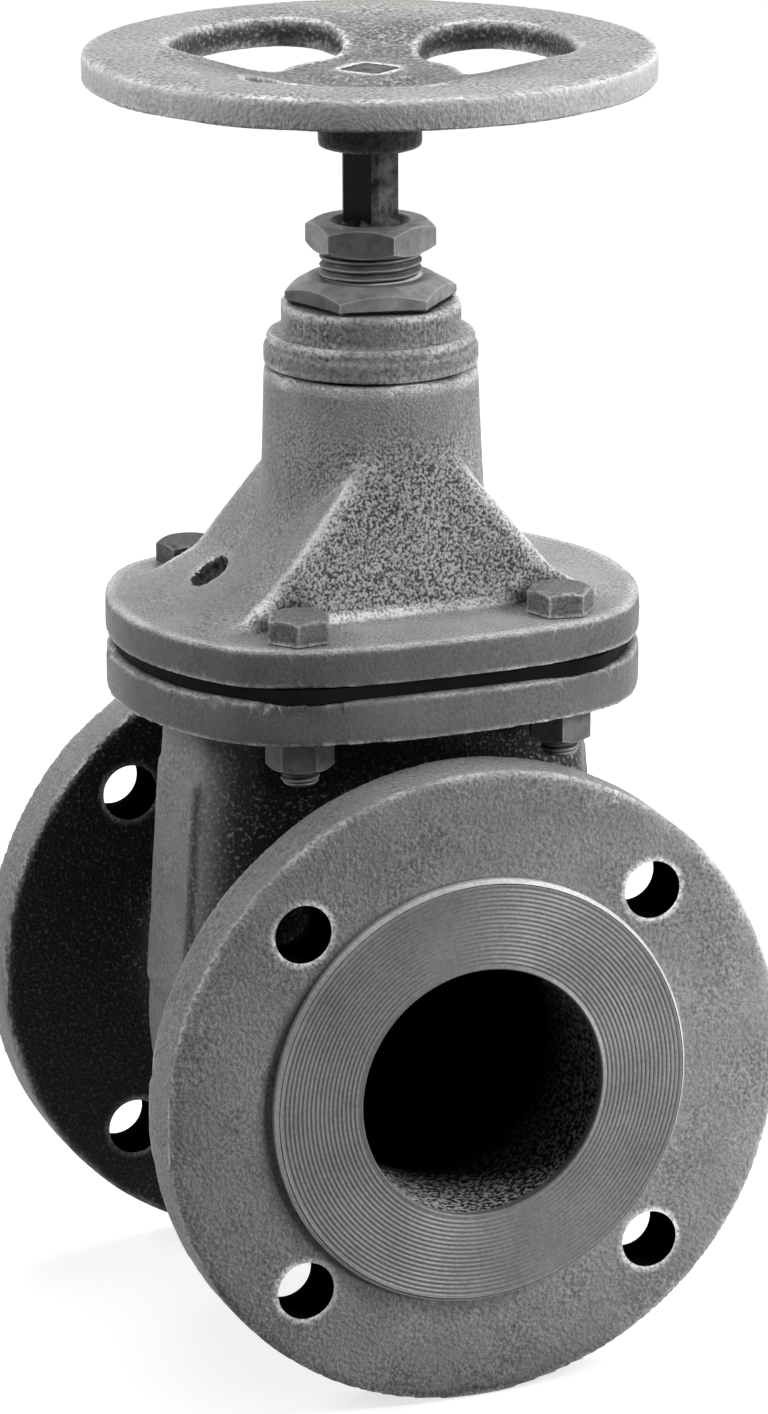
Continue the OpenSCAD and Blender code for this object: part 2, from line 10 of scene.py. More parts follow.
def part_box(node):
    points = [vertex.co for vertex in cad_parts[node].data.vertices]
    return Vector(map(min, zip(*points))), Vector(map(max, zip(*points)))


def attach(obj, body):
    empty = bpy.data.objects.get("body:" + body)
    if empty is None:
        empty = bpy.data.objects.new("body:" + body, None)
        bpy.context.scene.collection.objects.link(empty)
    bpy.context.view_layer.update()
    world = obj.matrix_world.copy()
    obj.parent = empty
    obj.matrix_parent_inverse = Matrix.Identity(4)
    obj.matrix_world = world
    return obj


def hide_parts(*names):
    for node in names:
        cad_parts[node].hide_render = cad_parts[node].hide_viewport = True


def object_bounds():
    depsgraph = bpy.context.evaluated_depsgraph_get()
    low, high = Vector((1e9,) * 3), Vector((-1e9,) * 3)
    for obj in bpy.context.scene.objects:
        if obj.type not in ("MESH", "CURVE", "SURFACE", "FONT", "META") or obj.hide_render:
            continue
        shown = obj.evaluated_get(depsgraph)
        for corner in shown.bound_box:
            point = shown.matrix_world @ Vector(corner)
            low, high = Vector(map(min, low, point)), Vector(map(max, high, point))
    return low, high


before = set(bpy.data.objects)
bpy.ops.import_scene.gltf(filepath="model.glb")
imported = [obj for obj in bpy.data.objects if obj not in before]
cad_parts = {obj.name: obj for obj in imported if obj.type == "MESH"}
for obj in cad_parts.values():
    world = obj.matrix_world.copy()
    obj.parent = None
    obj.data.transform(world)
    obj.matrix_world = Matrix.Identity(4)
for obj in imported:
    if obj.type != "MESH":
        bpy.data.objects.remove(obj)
cad_lo, cad_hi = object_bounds()

# ---- Studio ----------------------------------------------------------------
# A white floor in a white surround, with a wide soft light above, a strong soft
# panel on the right, a small one low beside it, and a weaker one on the left. The
# camera stands a little above the bonnet joint and looks down at the inlet flange.
MM = 0.001
EYE = Vector((-661.1, -1582.6, 625.6))
YAW, PITCH, ROLL = (math.radians(a) for a in (21.68, 16.38, -0.21))
FLOOR_R, FLOOR_SIDES = 4000, 64
scene = bpy.context.scene
scene.view_settings.view_transform = "Standard"


def put_in_scene(name, data):
    """A new object that holds a mesh, a lamp or a camera."""
    thing = bpy.data.objects.new(name, data)
    scene.collection.objects.link(thing)
    return thing


def aim(thing, place, target, roll=0.0):
    """Puts a lamp or the camera at a place in mm, turned to a target in mm."""
    back = (Vector(place) - Vector(target)).normalized()
    turn = back.to_track_quat("Z", "Y").to_matrix().to_4x4()
    thing.matrix_world = (Matrix.Translation(Vector(place) * MM) @ turn
                          @ Matrix.Rotation(roll, 4, "Z"))


camera = put_in_scene("camera", bpy.data.cameras.new("camera"))
sight = Vector((math.sin(YAW) * math.cos(PITCH), math.cos(YAW) * math.cos(PITCH),
                -math.sin(PITCH)))
aim(camera, EYE, EYE + sight * 1000, ROLL)
camera.data.sensor_width, camera.data.lens = 36, 153.8
camera.data.clip_start, camera.data.clip_end = 0.05, 60
scene.camera = camera


def soft_light(name, place, target, wide, high, watts, beam=180):
    """An oblong lamp, wide by high in metres, whose light spreads over beam degrees."""
    lamp = bpy.data.lights.new(name, "AREA")
    lamp.shape, lamp.spread = "RECTANGLE", math.radians(beam)
    lamp.size, lamp.size_y, lamp.energy = wide, high, watts
    aim(put_in_scene(name, lamp), place, target)


soft_light("overhead_panel", (200, 350, 1300), (0, 90, 150), 0.8, 0.8, 15.0)
soft_light("right_panel", (540, -370, 480), (0, 60, 80), 0.22, 0.3, 3.9)
soft_light("low_panel", (330, -290, -10), (60, 0, -30), 0.16, 0.14, 0.14, 60)
soft_light("left_panel", (-810, 160, 640), (0, 90, 150), 0.4, 0.4, 4.4)


def add(tree, kind, inputs=(), **settings):
    """Adds one node with its settings; inputs pairs sockets with values or sockets to link."""
    node = tree.nodes.new(kind)
    for key, value in settings.items():
        setattr(node, key, value)
    for key, value in dict(inputs).items():
        if isinstance(value, bpy.types.NodeSocket):
            tree.links.new(value, node.inputs[key])
        else:
            node.inputs[key].default_value = value
    return node


def seen_directly(tree):
    """1 for camera, glossy and transmission rays, 0 for the rays that light the object."""
    path = add(tree, "ShaderNodeLightPath").outputs
    seen = path["Is Camera Ray"]
    for kind in ("Is Glossy Ray", "Is Transmission Ray"):
        seen = add(tree, "ShaderNodeMath", {0: seen, 1: path[kind]},
                   operation="MAXIMUM").outputs[0]
    return seen


world = bpy.data.worlds.new("white_surround")
scene.world = world
world.use_nodes = True
sky = world.node_tree
sky.nodes.clear()
level = add(sky, "ShaderNodeMapRange", {"Value": seen_directly(sky), "To Min": 0.006,
                                        "To Max": 1.0})
backdrop = add(sky, "ShaderNodeBackground", {"Strength": level.outputs[0]})
add(sky, "ShaderNodeOutputWorld", {"Surface": backdrop.outputs[0]})

floor_z = round(cad_lo[2] / MM, 1)
angles = np.linspace(0, 2 * math.pi, FLOOR_SIDES + 1)[:-1]
rim = [(FLOOR_R * math.cos(a), 90 + FLOOR_R * math.sin(a), floor_z) for a in angles]
floor_mesh = bpy.data.meshes.new("floor")
floor_mesh.from_pydata([Vector(p) * MM for p in rim], [], [list(range(FLOOR_SIDES))])
floor = put_in_scene("floor", floor_mesh)

# White card: its own glow makes it white to the eye, and it throws little light back.
white_card = bpy.data.materials.new("white_card")
white_card.use_nodes = True
card = white_card.node_tree
card.nodes.clear()
place = add(card, "ShaderNodeTexCoord").outputs["Object"]
out = add(card, "ShaderNodeVectorMath", {0: place}, operation="LENGTH").outputs["Value"]
lift = add(card, "ShaderNodeMapRange", {"Value": out, 1: 0.15, 2: 0.7, 3: 0.72, 4: 1.0})
pale = add(card, "ShaderNodeBsdfDiffuse", {"Color": (0.6, 0.6, 0.6, 1)})
glow = add(card, "ShaderNodeEmission", {"Strength": lift.outputs[0]})
both = add(card, "ShaderNodeAddShader", {0: pale.outputs[0], 1: glow.outputs[0]})
matt = add(card, "ShaderNodeBsdfDiffuse", {"Color": (0.05, 0.05, 0.05, 1)})
paper = add(card, "ShaderNodeMixShader", {0: seen_directly(card), 1: matt.outputs[0],
                                          2: both.outputs[0]})
add(card, "ShaderNodeOutputMaterial", {"Surface": paper.outputs[0]})
floor.data.materials.append(white_card)

# ---- Valve body ------------------------------------------------------------
# One grey iron casting: two pipe flanges on necks, the gate chamber and its top
# flange, sand cast, then bored, drilled and faced. It is shaped as a distance
# field, whose parts run into each other as in a pattern, and the holes are cut last.


def extent(node):
    """The lowest and highest corners of a CAD node in mm, to a tenth."""
    return [[round(v / MM, 1) for v in corner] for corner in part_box(node)]


bonnet_lo, bonnet_hi = extent("bonnet")
seat_lo, seat_hi = extent("inlet_seat_ring")
FLANGE_R, FACE_TO_FACE, BODY_TOP = extent("body")[1]
MID_Y = FACE_TO_FACE / 2
BORE_R, FACE_H = 39.0, 3
FLANGE_T, FLANGE_EDGE_R = 20, 1.8
NECK_R, NECK_START, NECK_FILLET_R = 49.5, 12, 9
BOLT_CIRCLE_R, PIPE_HOLE_R, PIPE_HOLE_L = 80.0, 9, 28
CHAMBER_W, CHAMBER_TOP_W, CHAMBER_L, CHAMBER_CORNER_R = 70, 62, 33, 21
SIDE_WALL, END_WALL = 9, 8
PAD_HALF_W, PAD_LOW, PAD_HIGH, PAD_H = 17, 12, 84, 1.6
GUIDE_X, GUIDE_NEAR, GUIDE_FAR, GUIDE_FOOT = 46.5, 5, 10, -30
SEAT_R, SEAT_Y = seat_hi[0], seat_lo[1]
TOP_T, TOP_FILLET_R = 14, 8
BOLT_X, BOLT_OFF, BOLT_HOLE_R = 42.5, 48.0, 7
SAND_DEPTH = 0.5


def lattice(low, high, step):
    """Sparse x, y and z of a box of points in mm."""
    axes = [np.arange(a, b + step, step, dtype=np.float32) for a, b in zip(low, high)]
    return np.meshgrid(*axes, indexing="ij", sparse=True)


def join(a, b, r):
    """Two solids as one, with a fillet of radius r between them."""
    u, v = np.maximum(r - a, 0), np.maximum(r - b, 0)
    return np.maximum(r, np.minimum(a, b)) - np.sqrt(u * u + v * v)


def meet(a, b, r):
    """What two solids share, with its edges rounded to radius r."""
    u, v = np.maximum(r + a, 0), np.maximum(r + b, 0)
    return np.minimum(-r, np.maximum(a, b)) + np.sqrt(u * u + v * v)


def carve(a, b, r):
    """A solid less another, with the edges of the cut rounded to radius r."""
    return meet(a, -b, r)


def slab(v, low, high):
    """All that lies between two values of v."""
    return np.abs(v - (low + high) / 2) - (high - low) / 2


def bonnet_outline(x, y):
    """The round-ended outline with two flats that the bonnet joint's flanges share."""
    ends = np.sqrt(x * x + (y - MID_Y) ** 2) - bonnet_hi[0]
    return meet(ends, np.abs(y - MID_Y) - (bonnet_hi[1] - MID_Y), 18.0)


def chamber(x, y, z, half_w, top_half_w, half_l, r):
    """A disc across the flow that runs up into a tapered shaft, all corners rounded."""
    lean = (half_w - top_half_w) / (BODY_TOP - 1)
    disc = meet(np.sqrt(x * x + z * z) - half_w, np.abs(y - MID_Y) - half_l, r)
    side = (np.abs(x) - half_w + lean * z) / math.hypot(1, lean)
    shaft = np.maximum(meet(side, np.abs(y - MID_Y) - half_l, r), -z)
    return np.minimum(disc, shaft)


def sand_skin(x, y, z, depth):
    """The slow unevenness of a sand mould, always inwards, up to depth."""
    wave = 0
    for a, b, c, p in ((.11, .07, .09, .4), (-.06, .13, .05, 1.7), (.15, -.04, .11, 2.9),
                       (.03, .17, -.14, 4.1), (-.19, .09, .18, 5.3)):
        wave = wave + np.sin(a * x + b * y + c * z + p)
    return depth * (0.5 + wave / 10)


def turn_outwards(thing):
    """Turns all faces of a closed piece outwards."""
    made = bmesh.new()
    made.from_mesh(thing.data)
    if made.calc_volume(signed=True) < 0:
        bmesh.ops.reverse_faces(made, faces=made.faces)
    made.to_mesh(thing.data)
    made.free()


def surface(name, field, low, step, simplify=0.01):
    """The zero surface of a field as a closed piece."""
    grid = openvdb.FloatGrid(3 * step)
    grid.copyFromArray(np.clip(field, -3 * step, 3 * step).astype(np.float32))
    points, triangles, quads = grid.convertToPolygons(isovalue=0.0, adaptivity=simplify)
    mesh = bpy.data.meshes.new(name)
    faces = [tuple(f) for f in triangles.tolist()] + [tuple(f) for f in quads.tolist()]
    mesh.from_pydata(((points * step + np.array(low)) * MM).tolist(), [], faces)
    thing = put_in_scene(name, mesh)
    turn_outwards(thing)
    return thing


def taken_from(made, name):
    """A bmesh as a piece of its own."""
    mesh = bpy.data.meshes.new(name)
    made.to_mesh(mesh)
    made.free()
    return put_in_scene(name, mesh)


def turned(name, profile, axis, centre, sides=128):
    """A solid turned from a profile of (radius, height) points about an axis, "Y" or "Z"."""
    made = bmesh.new()
    rings = []
    for r, h in profile:
        ring = []
        for i in range(1 if r == 0 else sides):
            a = 2 * math.pi * i / sides
            u, v = r * math.cos(a), r * math.sin(a)
            place = (u, h, v) if axis == "Y" else (u, v, h)
            ring.append(made.verts.new((Vector(place) + Vector(centre)) * MM))
        rings.append(ring)
    for a, b in zip(rings, rings[1:] + rings[:1]):
        if len(a) == 1 and len(b) == 1:
            continue
        for i in range(sides):
            j = (i + 1) % sides
            corners = [a[i % len(a)], a[j % len(a)], b[j % len(b)], b[i % len(b)]]
            made.faces.new(list(dict.fromkeys(corners)))
    bmesh.ops.recalc_face_normals(made, faces=made.faces)
    thing = taken_from(made, name)
    turn_outwards(thing)
    return thing


def round_bar(name, r, start, end, axis, centre, sides=128):
    """A plain round bar, or the drill for a plain hole."""
    return turned(name, [(0, start), (r, start), (r, end), (0, end)], axis, centre, sides)


def cut(thing, tools):
    """Cuts the tools out of a piece and clears them away."""
    for tool in tools:
        work = thing.modifiers.new("cut", "BOOLEAN")
        work.operation, work.solver, work.object = "DIFFERENCE", "MANIFOLD", tool
        made = bpy.data.meshes.new_from_object(
            thing.evaluated_get(bpy.context.evaluated_depsgraph_get()))
        made.name = thing.name
        thing.modifiers.clear()
        old, thing.data = thing.data, made
        bpy.data.meshes.remove(old)
        bpy.data.objects.remove(tool)


def finish_faces(thing, angle=32):
    """Smooth shading with every edge sharper than the angle kept crisp."""
    thing.data.polygons.foreach_set("use_smooth", [True] * len(thing.data.polygons))
    thing.data.set_sharp_from_angle(angle=math.radians(angle))


step, low, high = 1.5, (-103.5, -1.5, -103.5), (103.5, 181.5, 124.5)
x, y, z = lattice(low, high, step)
r = np.sqrt(x * x + z * z)
back, far = FACE_H + FLANGE_T, FACE_TO_FACE - FACE_H
discs = np.minimum(meet(r - FLANGE_R, slab(y, FACE_H, back), FLANGE_EDGE_R),
                   meet(r - FLANGE_R, slab(y, far - FLANGE_T, far), FLANGE_EDGE_R))
necks = np.maximum(r - NECK_R, slab(y, NECK_START, FACE_TO_FACE - NECK_START))
ends = join(discs, necks, NECK_FILLET_R)
box = chamber(x, y, z, CHAMBER_W, CHAMBER_TOP_W, CHAMBER_L, CHAMBER_CORNER_R)
pad = np.maximum(slab(y, MID_Y - PAD_HALF_W, MID_Y + PAD_HALF_W), slab(z, PAD_LOW, PAD_HIGH))
box = join(box, meet(pad, box - PAD_H, 1.5), 1.5)
plate = meet(bonnet_outline(x, y), slab(z, BODY_TOP - TOP_T, BODY_TOP), 1.0)
casting = join(join(ends, box, NECK_FILLET_R), plate, TOP_FILLET_R)
casting = np.maximum(casting, z - BODY_TOP)
inside = chamber(x, y, z, CHAMBER_W - SIDE_WALL, CHAMBER_TOP_W - SIDE_WALL,
                 CHAMBER_L - END_WALL, CHAMBER_CORNER_R - END_WALL)
guides = np.maximum(GUIDE_X - np.abs(x), slab(np.abs(y - MID_Y), GUIDE_NEAR, GUIDE_FAR))
inside = carve(inside, np.maximum(guides, GUIDE_FOOT - z), 1.5)
casting = carve(casting, inside, 1.0)
casting = np.maximum(casting, -np.maximum(r - SEAT_R, slab(y, SEAT_Y, FACE_TO_FACE - SEAT_Y)))
body = surface("body_casting", casting + sand_skin(x, y, z, SAND_DEPTH), low, step, 0.02)

tools = [round_bar("bore", BORE_R, -5, FACE_TO_FACE + 5, "Y", (0, 0, 0))]
for a in (45, 135, 225, 315):
    at = (BOLT_CIRCLE_R * math.cos(math.radians(a)), 0, BOLT_CIRCLE_R * math.sin(math.radians(a)))
    for start in (0, FACE_TO_FACE - PIPE_HOLE_L):
        tools.append(round_bar("hole", PIPE_HOLE_R, start, start + PIPE_HOLE_L, "Y", at, 48))
bolt_places = [(sx * BOLT_X, MID_Y + sy * BOLT_OFF, 0) for sx in (-1, 1) for sy in (-1, 1)]
for at in bolt_places:
    tools.append(round_bar("hole", BOLT_HOLE_R, 100, 124, "Z", at, 32))
cut(body, tools)
finish_faces(body)


def linear(hex_code):
    """An sRGB colour such as "8a8a88" as the linear colour that a shader takes."""
    parts = [int(hex_code[i:i + 2], 16) / 255 for i in (0, 2, 4)]
    return tuple(c / 12.92 if c <= 0.04045 else ((c + 0.055) / 1.055) ** 2.4 for c in parts) + (1,)


def new_material(name):
    """An empty material, its node tree, and the place on the piece that patterns read."""
    material = bpy.data.materials.new(name)
    material.use_nodes = True
    tree = material.node_tree
    tree.nodes.clear()
    return material, tree, add(tree, "ShaderNodeTexCoord").outputs["Object"]


def cast_iron(name, dark, pale, worn, grit_mm, grit_depth_mm, sparkle, corner_shade_mm, edge_mm,
              shine=0.14, bare=None, rough=None):
    """Sand-cast iron under a thin coat of grey primer. The coat follows the sand, so the skin is
    a field of small bumps: pale crests, dark pits, stronger in some places than in others. Edges
    are worn pale and painted as white highlights, and corners are painted dark as shade. bare
    makes a socket, from the place and the normal, that is 1 where painted shade goes: near-black
    iron with pale specks. rough makes the sockets that rough_dome describes."""
    patch_mm, clump_mm, swell_mm, swell_depth_mm = 28, 17, 7, 0.25
    material, tree, place = new_material(name)
    facing = add(tree, "ShaderNodeNewGeometry").outputs["Normal"]

    # the grit, and how strongly it shows from clump to clump
    grit = add(tree, "ShaderNodeTexNoise", {"Vector": place, "Scale": 1000 / grit_mm, "Detail": 2,
                                            "Roughness": 0.55}).outputs["Fac"]
    patch = add(tree, "ShaderNodeTexNoise", {"Vector": place, "Scale": 1000 / patch_mm,
                                             "Detail": 4, "Roughness": 0.6}).outputs["Fac"]
    clump = add(tree, "ShaderNodeTexNoise", {"Vector": place, "Scale": 1000 / clump_mm,
                                             "Detail": 3}).outputs["Fac"]
    strength = add(tree, "ShaderNodeMapRange", {"Value": clump, 1: 0.42, 2: 0.62,
                                                3: sparkle * 0.4, 4: sparkle}).outputs[0]
    # on the dome the grit shows stronger on faces along the flow: rough casting and painted glints
    if rough:
        rough_and_glints, keep, foot, ridge = rough(tree, place, facing)
        strength = add(tree, "ShaderNodeMath", {0: rough_and_glints, 1: 3.6, 2: strength},
                       operation="MULTIPLY_ADD").outputs[0]
    spread = add(tree, "ShaderNodeMath", {0: grit, 1: 0.5}, operation="SUBTRACT").outputs[0]
    fleck = add(tree, "ShaderNodeMath", {0: spread, 1: strength}, operation="MULTIPLY").outputs[0]
    drift = add(tree, "ShaderNodeMath", {0: patch, 1: 0.6, 2: 0.2},
                operation="MULTIPLY_ADD").outputs[0]
    tone = add(tree, "ShaderNodeMath", {0: fleck, 1: drift}, operation="ADD").outputs[0]
    coat = add(tree, "ShaderNodeMix", {0: tone, 6: linear(dark), 7: linear(pale)},
               data_type="RGBA").outputs[2]

    # painted shade: near-black iron with pale specks where the bare mask is 1
    if bare:
        speck = add(tree, "ShaderNodeMapRange", {"Value": grit, 1: 0.56, 2: 0.7}).outputs[0]
        scale = add(tree, "ShaderNodeMix", {0: speck, 6: linear("262625"), 7: linear("9c9c9a")},
                    data_type="RGBA").outputs[2]
        coat = add(tree, "ShaderNodeMix", {0: bare(tree, place, facing), 6: coat, 7: scale},
                   data_type="RGBA").outputs[2]

    # painted shade in the corners, and edges worn pale and painted as highlights where the grit's
    # crests stand
    corner = add(tree, "ShaderNodeAmbientOcclusion", {"Distance": corner_shade_mm * MM}, samples=6)
    corner_shade = add(tree, "ShaderNodeMapRange", {"Value": corner.outputs["AO"], 1: 0.7, 2: 0.22,
                                            3: 0.0, 4: 0.9}).outputs[0]
    shaded_coat = add(tree, "ShaderNodeMix", {0: corner_shade, 6: coat, 7: linear("10100f")},
                data_type="RGBA").outputs[2]
    edge = add(tree, "ShaderNodeAmbientOcclusion", {"Distance": edge_mm * MM}, inside=True,
               only_local=True, samples=6)
    faint, full = (0.98, 0.9) if rough else (0.93, 0.72)
    worn_highlight = add(tree, "ShaderNodeMapRange", {"Value": edge.outputs["AO"], 1: faint,
                                              2: full}).outputs[0]
    broken = add(tree, "ShaderNodeMapRange", {"Value": clump, 1: 0.4, 2: 0.58, 3: 0.35,
                                              4: 1.0}).outputs[0]
    crests = add(tree, "ShaderNodeMapRange", {"Value": grit, 1: 0.4, 2: 0.54, 3: 0.4,
                                              4: 1.0}).outputs[0]
    broken = add(tree, "ShaderNodeMath", {0: broken, 1: crests}, operation="MULTIPLY").outputs[0]
    worn_highlight = add(tree, "ShaderNodeMath", {0: worn_highlight, 1: broken}, operation="MULTIPLY").outputs[0]
    # on the dome, painted highlights: white lines at its foot and along its ridges
    if rough:
        worn_highlight = add(tree, "ShaderNodeMath", {0: worn_highlight, 1: keep}, operation="MULTIPLY").outputs[0]
        thick = add(tree, "ShaderNodeMath", {0: crests, 1: 0.72}, operation="MAXIMUM").outputs[0]
        for line, grain in ((foot, broken), (ridge, thick)):
            line = add(tree, "ShaderNodeMath", {0: line, 1: grain}, operation="MULTIPLY").outputs[0]
            worn_highlight = add(tree, "ShaderNodeMath", {0: worn_highlight, 1: line},
                         operation="MAXIMUM").outputs[0]
    colour = add(tree, "ShaderNodeMix", {0: worn_highlight, 6: shaded_coat, 7: linear(worn)},
                 data_type="RGBA").outputs[2]

    # smoother and more reflective on the worn, highlighted edges; the bumps are the grit on the
    # mould's slow swell
    gloss = add(tree, "ShaderNodeMapRange", {"Value": grit, 1: 0.35, 2: 0.7, 3: 0.55,
                                             4: 0.38}).outputs[0]
    gloss = add(tree, "ShaderNodeMix", {0: worn_highlight, 2: gloss, 3: 0.34}).outputs[0]
    glint = add(tree, "ShaderNodeMapRange", {"Value": worn_highlight, 3: shine, 4: shine * 7}).outputs[0]
    swell = add(tree, "ShaderNodeTexNoise", {"Vector": place, "Scale": 1000 / swell_mm,
                                             "Detail": 2}).outputs["Fac"]
    slow = add(tree, "ShaderNodeBump", {"Height": swell, "Distance": swell_depth_mm * MM})
    bump = add(tree, "ShaderNodeBump", {"Height": grit, "Distance": grit_depth_mm * MM,
                                        "Normal": slow.outputs[0]}).outputs[0]
    skin = add(tree, "ShaderNodeBsdfPrincipled", {"Base Color": colour, "Roughness": gloss,
                                                  "Specular IOR Level": glint, "Normal": bump})
    add(tree, "ShaderNodeOutputMaterial", {"Surface": skin.outputs[0]})
    return material


def shade_between_flanges(tree, place, facing):
    """1 on the faces that look along the flow between the two pipe flanges, which take painted
    shade.
    """
    at = add(tree, "ShaderNodeSeparateXYZ", {0: place}).outputs
    along = add(tree, "ShaderNodeSeparateXYZ", {0: facing}).outputs[1]
    along = add(tree, "ShaderNodeMath", {0: along}, operation="ABSOLUTE").outputs[0]
    mask = add(tree, "ShaderNodeMapRange", {"Value": along, 1: 0.3, 2: 0.8}).outputs[0]
    off = add(tree, "ShaderNodeMath", {0: at[1], 1: MID_Y * MM}, operation="SUBTRACT").outputs[0]
    off = add(tree, "ShaderNodeMath", {0: off}, operation="ABSOLUTE").outputs[0]
    for value, none, whole in ((off, 71, 68.5), (at[2], 105, 103)):
        part = add(tree, "ShaderNodeMapRange", {"Value": value, 1: none * MM,
                                                2: whole * MM}).outputs[0]
        mask = add(tree, "ShaderNodeMath", {0: mask, 1: part}, operation="MULTIPLY").outputs[0]
    return mask


def painted_shade_bore(name):
    """Iron left bare in a bore, painted black within as shade, with pale specks near the mouths as
    painted light.
    """
    speck_mm, black_mm, lit_mm = 1.3, 46, 88
    material, tree, place = new_material(name)
    depth = add(tree, "ShaderNodeSeparateXYZ", {0: place}).outputs[1]
    depth = add(tree, "ShaderNodeMath", {0: depth, 1: MID_Y * MM}, operation="SUBTRACT").outputs[0]
    depth = add(tree, "ShaderNodeMath", {0: depth}, operation="ABSOLUTE").outputs[0]
    mouth = add(tree, "ShaderNodeMapRange", {"Value": depth, 1: black_mm * MM,
                                             2: lit_mm * MM}).outputs[0]
    speck = add(tree, "ShaderNodeTexNoise", {"Vector": place, "Scale": 1000 / speck_mm,
                                             "Detail": 2}).outputs["Fac"]
    speck = add(tree, "ShaderNodeMapRange", {"Value": speck, 1: 0.46, 2: 0.6}).outputs[0]
    lit_specks = add(tree, "ShaderNodeMix", {0: speck, 6: linear("3a3a38"), 7: linear("dcdcda")},
               data_type="RGBA").outputs[2]
    colour = add(tree, "ShaderNodeMix", {0: mouth, 6: linear("040404"), 7: lit_specks},
                 data_type="RGBA").outputs[2]
    skin = add(tree, "ShaderNodeBsdfPrincipled", {"Base Color": colour, "Roughness": 0.7,
                                                  "Specular IOR Level": 0.0})
    add(tree, "ShaderNodeOutputMaterial", {"Surface": skin.outputs[0]})
    return material


def dress(thing, material, rides_on, slot, *nodes):
    """Gives a piece its material and its CAD body, and hides the CAD nodes it stands for; slot is
    not used.
    """
    thing.data.materials.clear()
    thing.data.materials.append(material)
    thing.data.polygons.foreach_set("material_index", [0] * len(thing.data.polygons))
    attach(thing, rides_on)
    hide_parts(*nodes)


# the faces between the flanges take painted shade: near black with pale specks
body_iron = cast_iron("primed_cast_iron", "50504e", "b8b8b6", "ffffff", 1.2, 0.5, 1.6, 40, 2.4,
                      bare=shade_between_flanges)
dress(body, body_iron, "valve_body", "grey_cast_iron", "body")
# near-black bare iron inside the chamber and on the walls of the flange holes: painted shade
body.data.materials.append(cast_iron("bare_iron_painted_shade", "050505", "161514", "1c1b1a", 1.5, 0.5,
                                     1.5, 22, 1.0, shine=0.0))
body.data.materials.append(painted_shade_bore("painted_shade_bore_iron"))
# a darker copy of the primer for the flange sides: painted shade
side_shade_iron = cast_iron("primed_side_shade_iron", "484846", "989896", "f6f6f4", 1.0, 0.2, 0.9, 10, 1.8)
body.data.materials.append(side_shade_iron)
SHADED_BARE, BORE_SHADE, SIDE_SHADE = 1, 2, 3
inner_w = CHAMBER_W - SIDE_WALL + 0.8
inner_l = CHAMBER_L - END_WALL + 1.5
hole_off = BOLT_CIRCLE_R * math.sqrt(0.5)
for face in body.data.polygons:
    cx, cy, cz = face.center / MM
    in_chamber = (abs(cy - MID_Y) < inner_l and abs(cx) < inner_w - max(cz, 0) * 0.06
                  and cz < BODY_TOP - 0.5 and math.hypot(cx, min(cz, 0)) < inner_w)
    on_side = (BODY_TOP - TOP_T + 1 < cz < BODY_TOP - 0.6 and abs(face.normal.z) < 0.5
               and bonnet_outline(cx, cy) > -1.5)
    off_hole = math.hypot(abs(cx) - hole_off, abs(cz) - hole_off)
    if math.hypot(cx, cz) < SEAT_R + 0.8 and 1 < cy < FACE_TO_FACE - 1:
        face.material_index = BORE_SHADE
    elif in_chamber:
        face.material_index = SHADED_BARE
    elif on_side:
        face.material_index = SIDE_SHADE
    elif (off_hole < PIPE_HOLE_R + 0.05 and abs(face.normal.y) < 0.3
          and abs(cy - MID_Y) > MID_Y - back - 3):
        face.material_index = SHADED_BARE

# ---- Serrated pipe faces ---------------------------------------------------
# The raised face on each end is turned on the lathe with a fine spiral of grooves
# that the ring gasket beds into. The cutting leaves bare metal, and the grooves
# catch the light in rings. They are drawn at 1.4 mm, coarser than cut, to show.
FACE_R, FACE_CHAMFER, BAND_T = 67.0, 1.5, 3.6
GROOVE_PITCH, GROOVE_DEPTH, PLAIN_INNER, PLAIN_OUTER = 1.4, 1.05, 1.0, 1.6


def socket_name(key):
    """The name that a tree's input shows, such as "Inner radius" for inner_radius."""
    return key.replace("_", " ").capitalize()


def new_tree(name, result, **kinds):
    """A Geometry Nodes tree with inputs of these kinds, and the sockets that bring them."""
    tree = bpy.data.node_groups.new(name, "GeometryNodeTree")
    for key, kind in kinds.items():
        tree.interface.new_socket(socket_name(key), in_out="INPUT", socket_type="NodeSocket" + kind)
    tree.interface.new_socket(result, in_out="OUTPUT", socket_type="NodeSocketGeometry")
    return tree, add(tree, "NodeGroupInput").outputs


def zigzag(tree, turns):
    """A wave between 0 and 0.5 that falls and rises once for each turn."""
    wave = add(tree, "ShaderNodeMath", {0: turns, 1: 1.0, 2: 0.0}, operation="WRAP").outputs[0]
    fold = add(tree, "ShaderNodeMath", {0: wave, 1: 0.5}, operation="SUBTRACT").outputs[0]
    return add(tree, "ShaderNodeMath", {0: fold}, operation="ABSOLUTE").outputs[0]


def give_back(tree, shape, metal):
    """Ends a tree with its shape made real and given its metal."""
    real = add(tree, "GeometryNodeRealizeInstances", {0: shape})
    dressed = add(tree, "GeometryNodeSetMaterial", {0: real.outputs[0], "Material": metal})
    add(tree, "NodeGroupOutput", {0: dressed.outputs[0]})


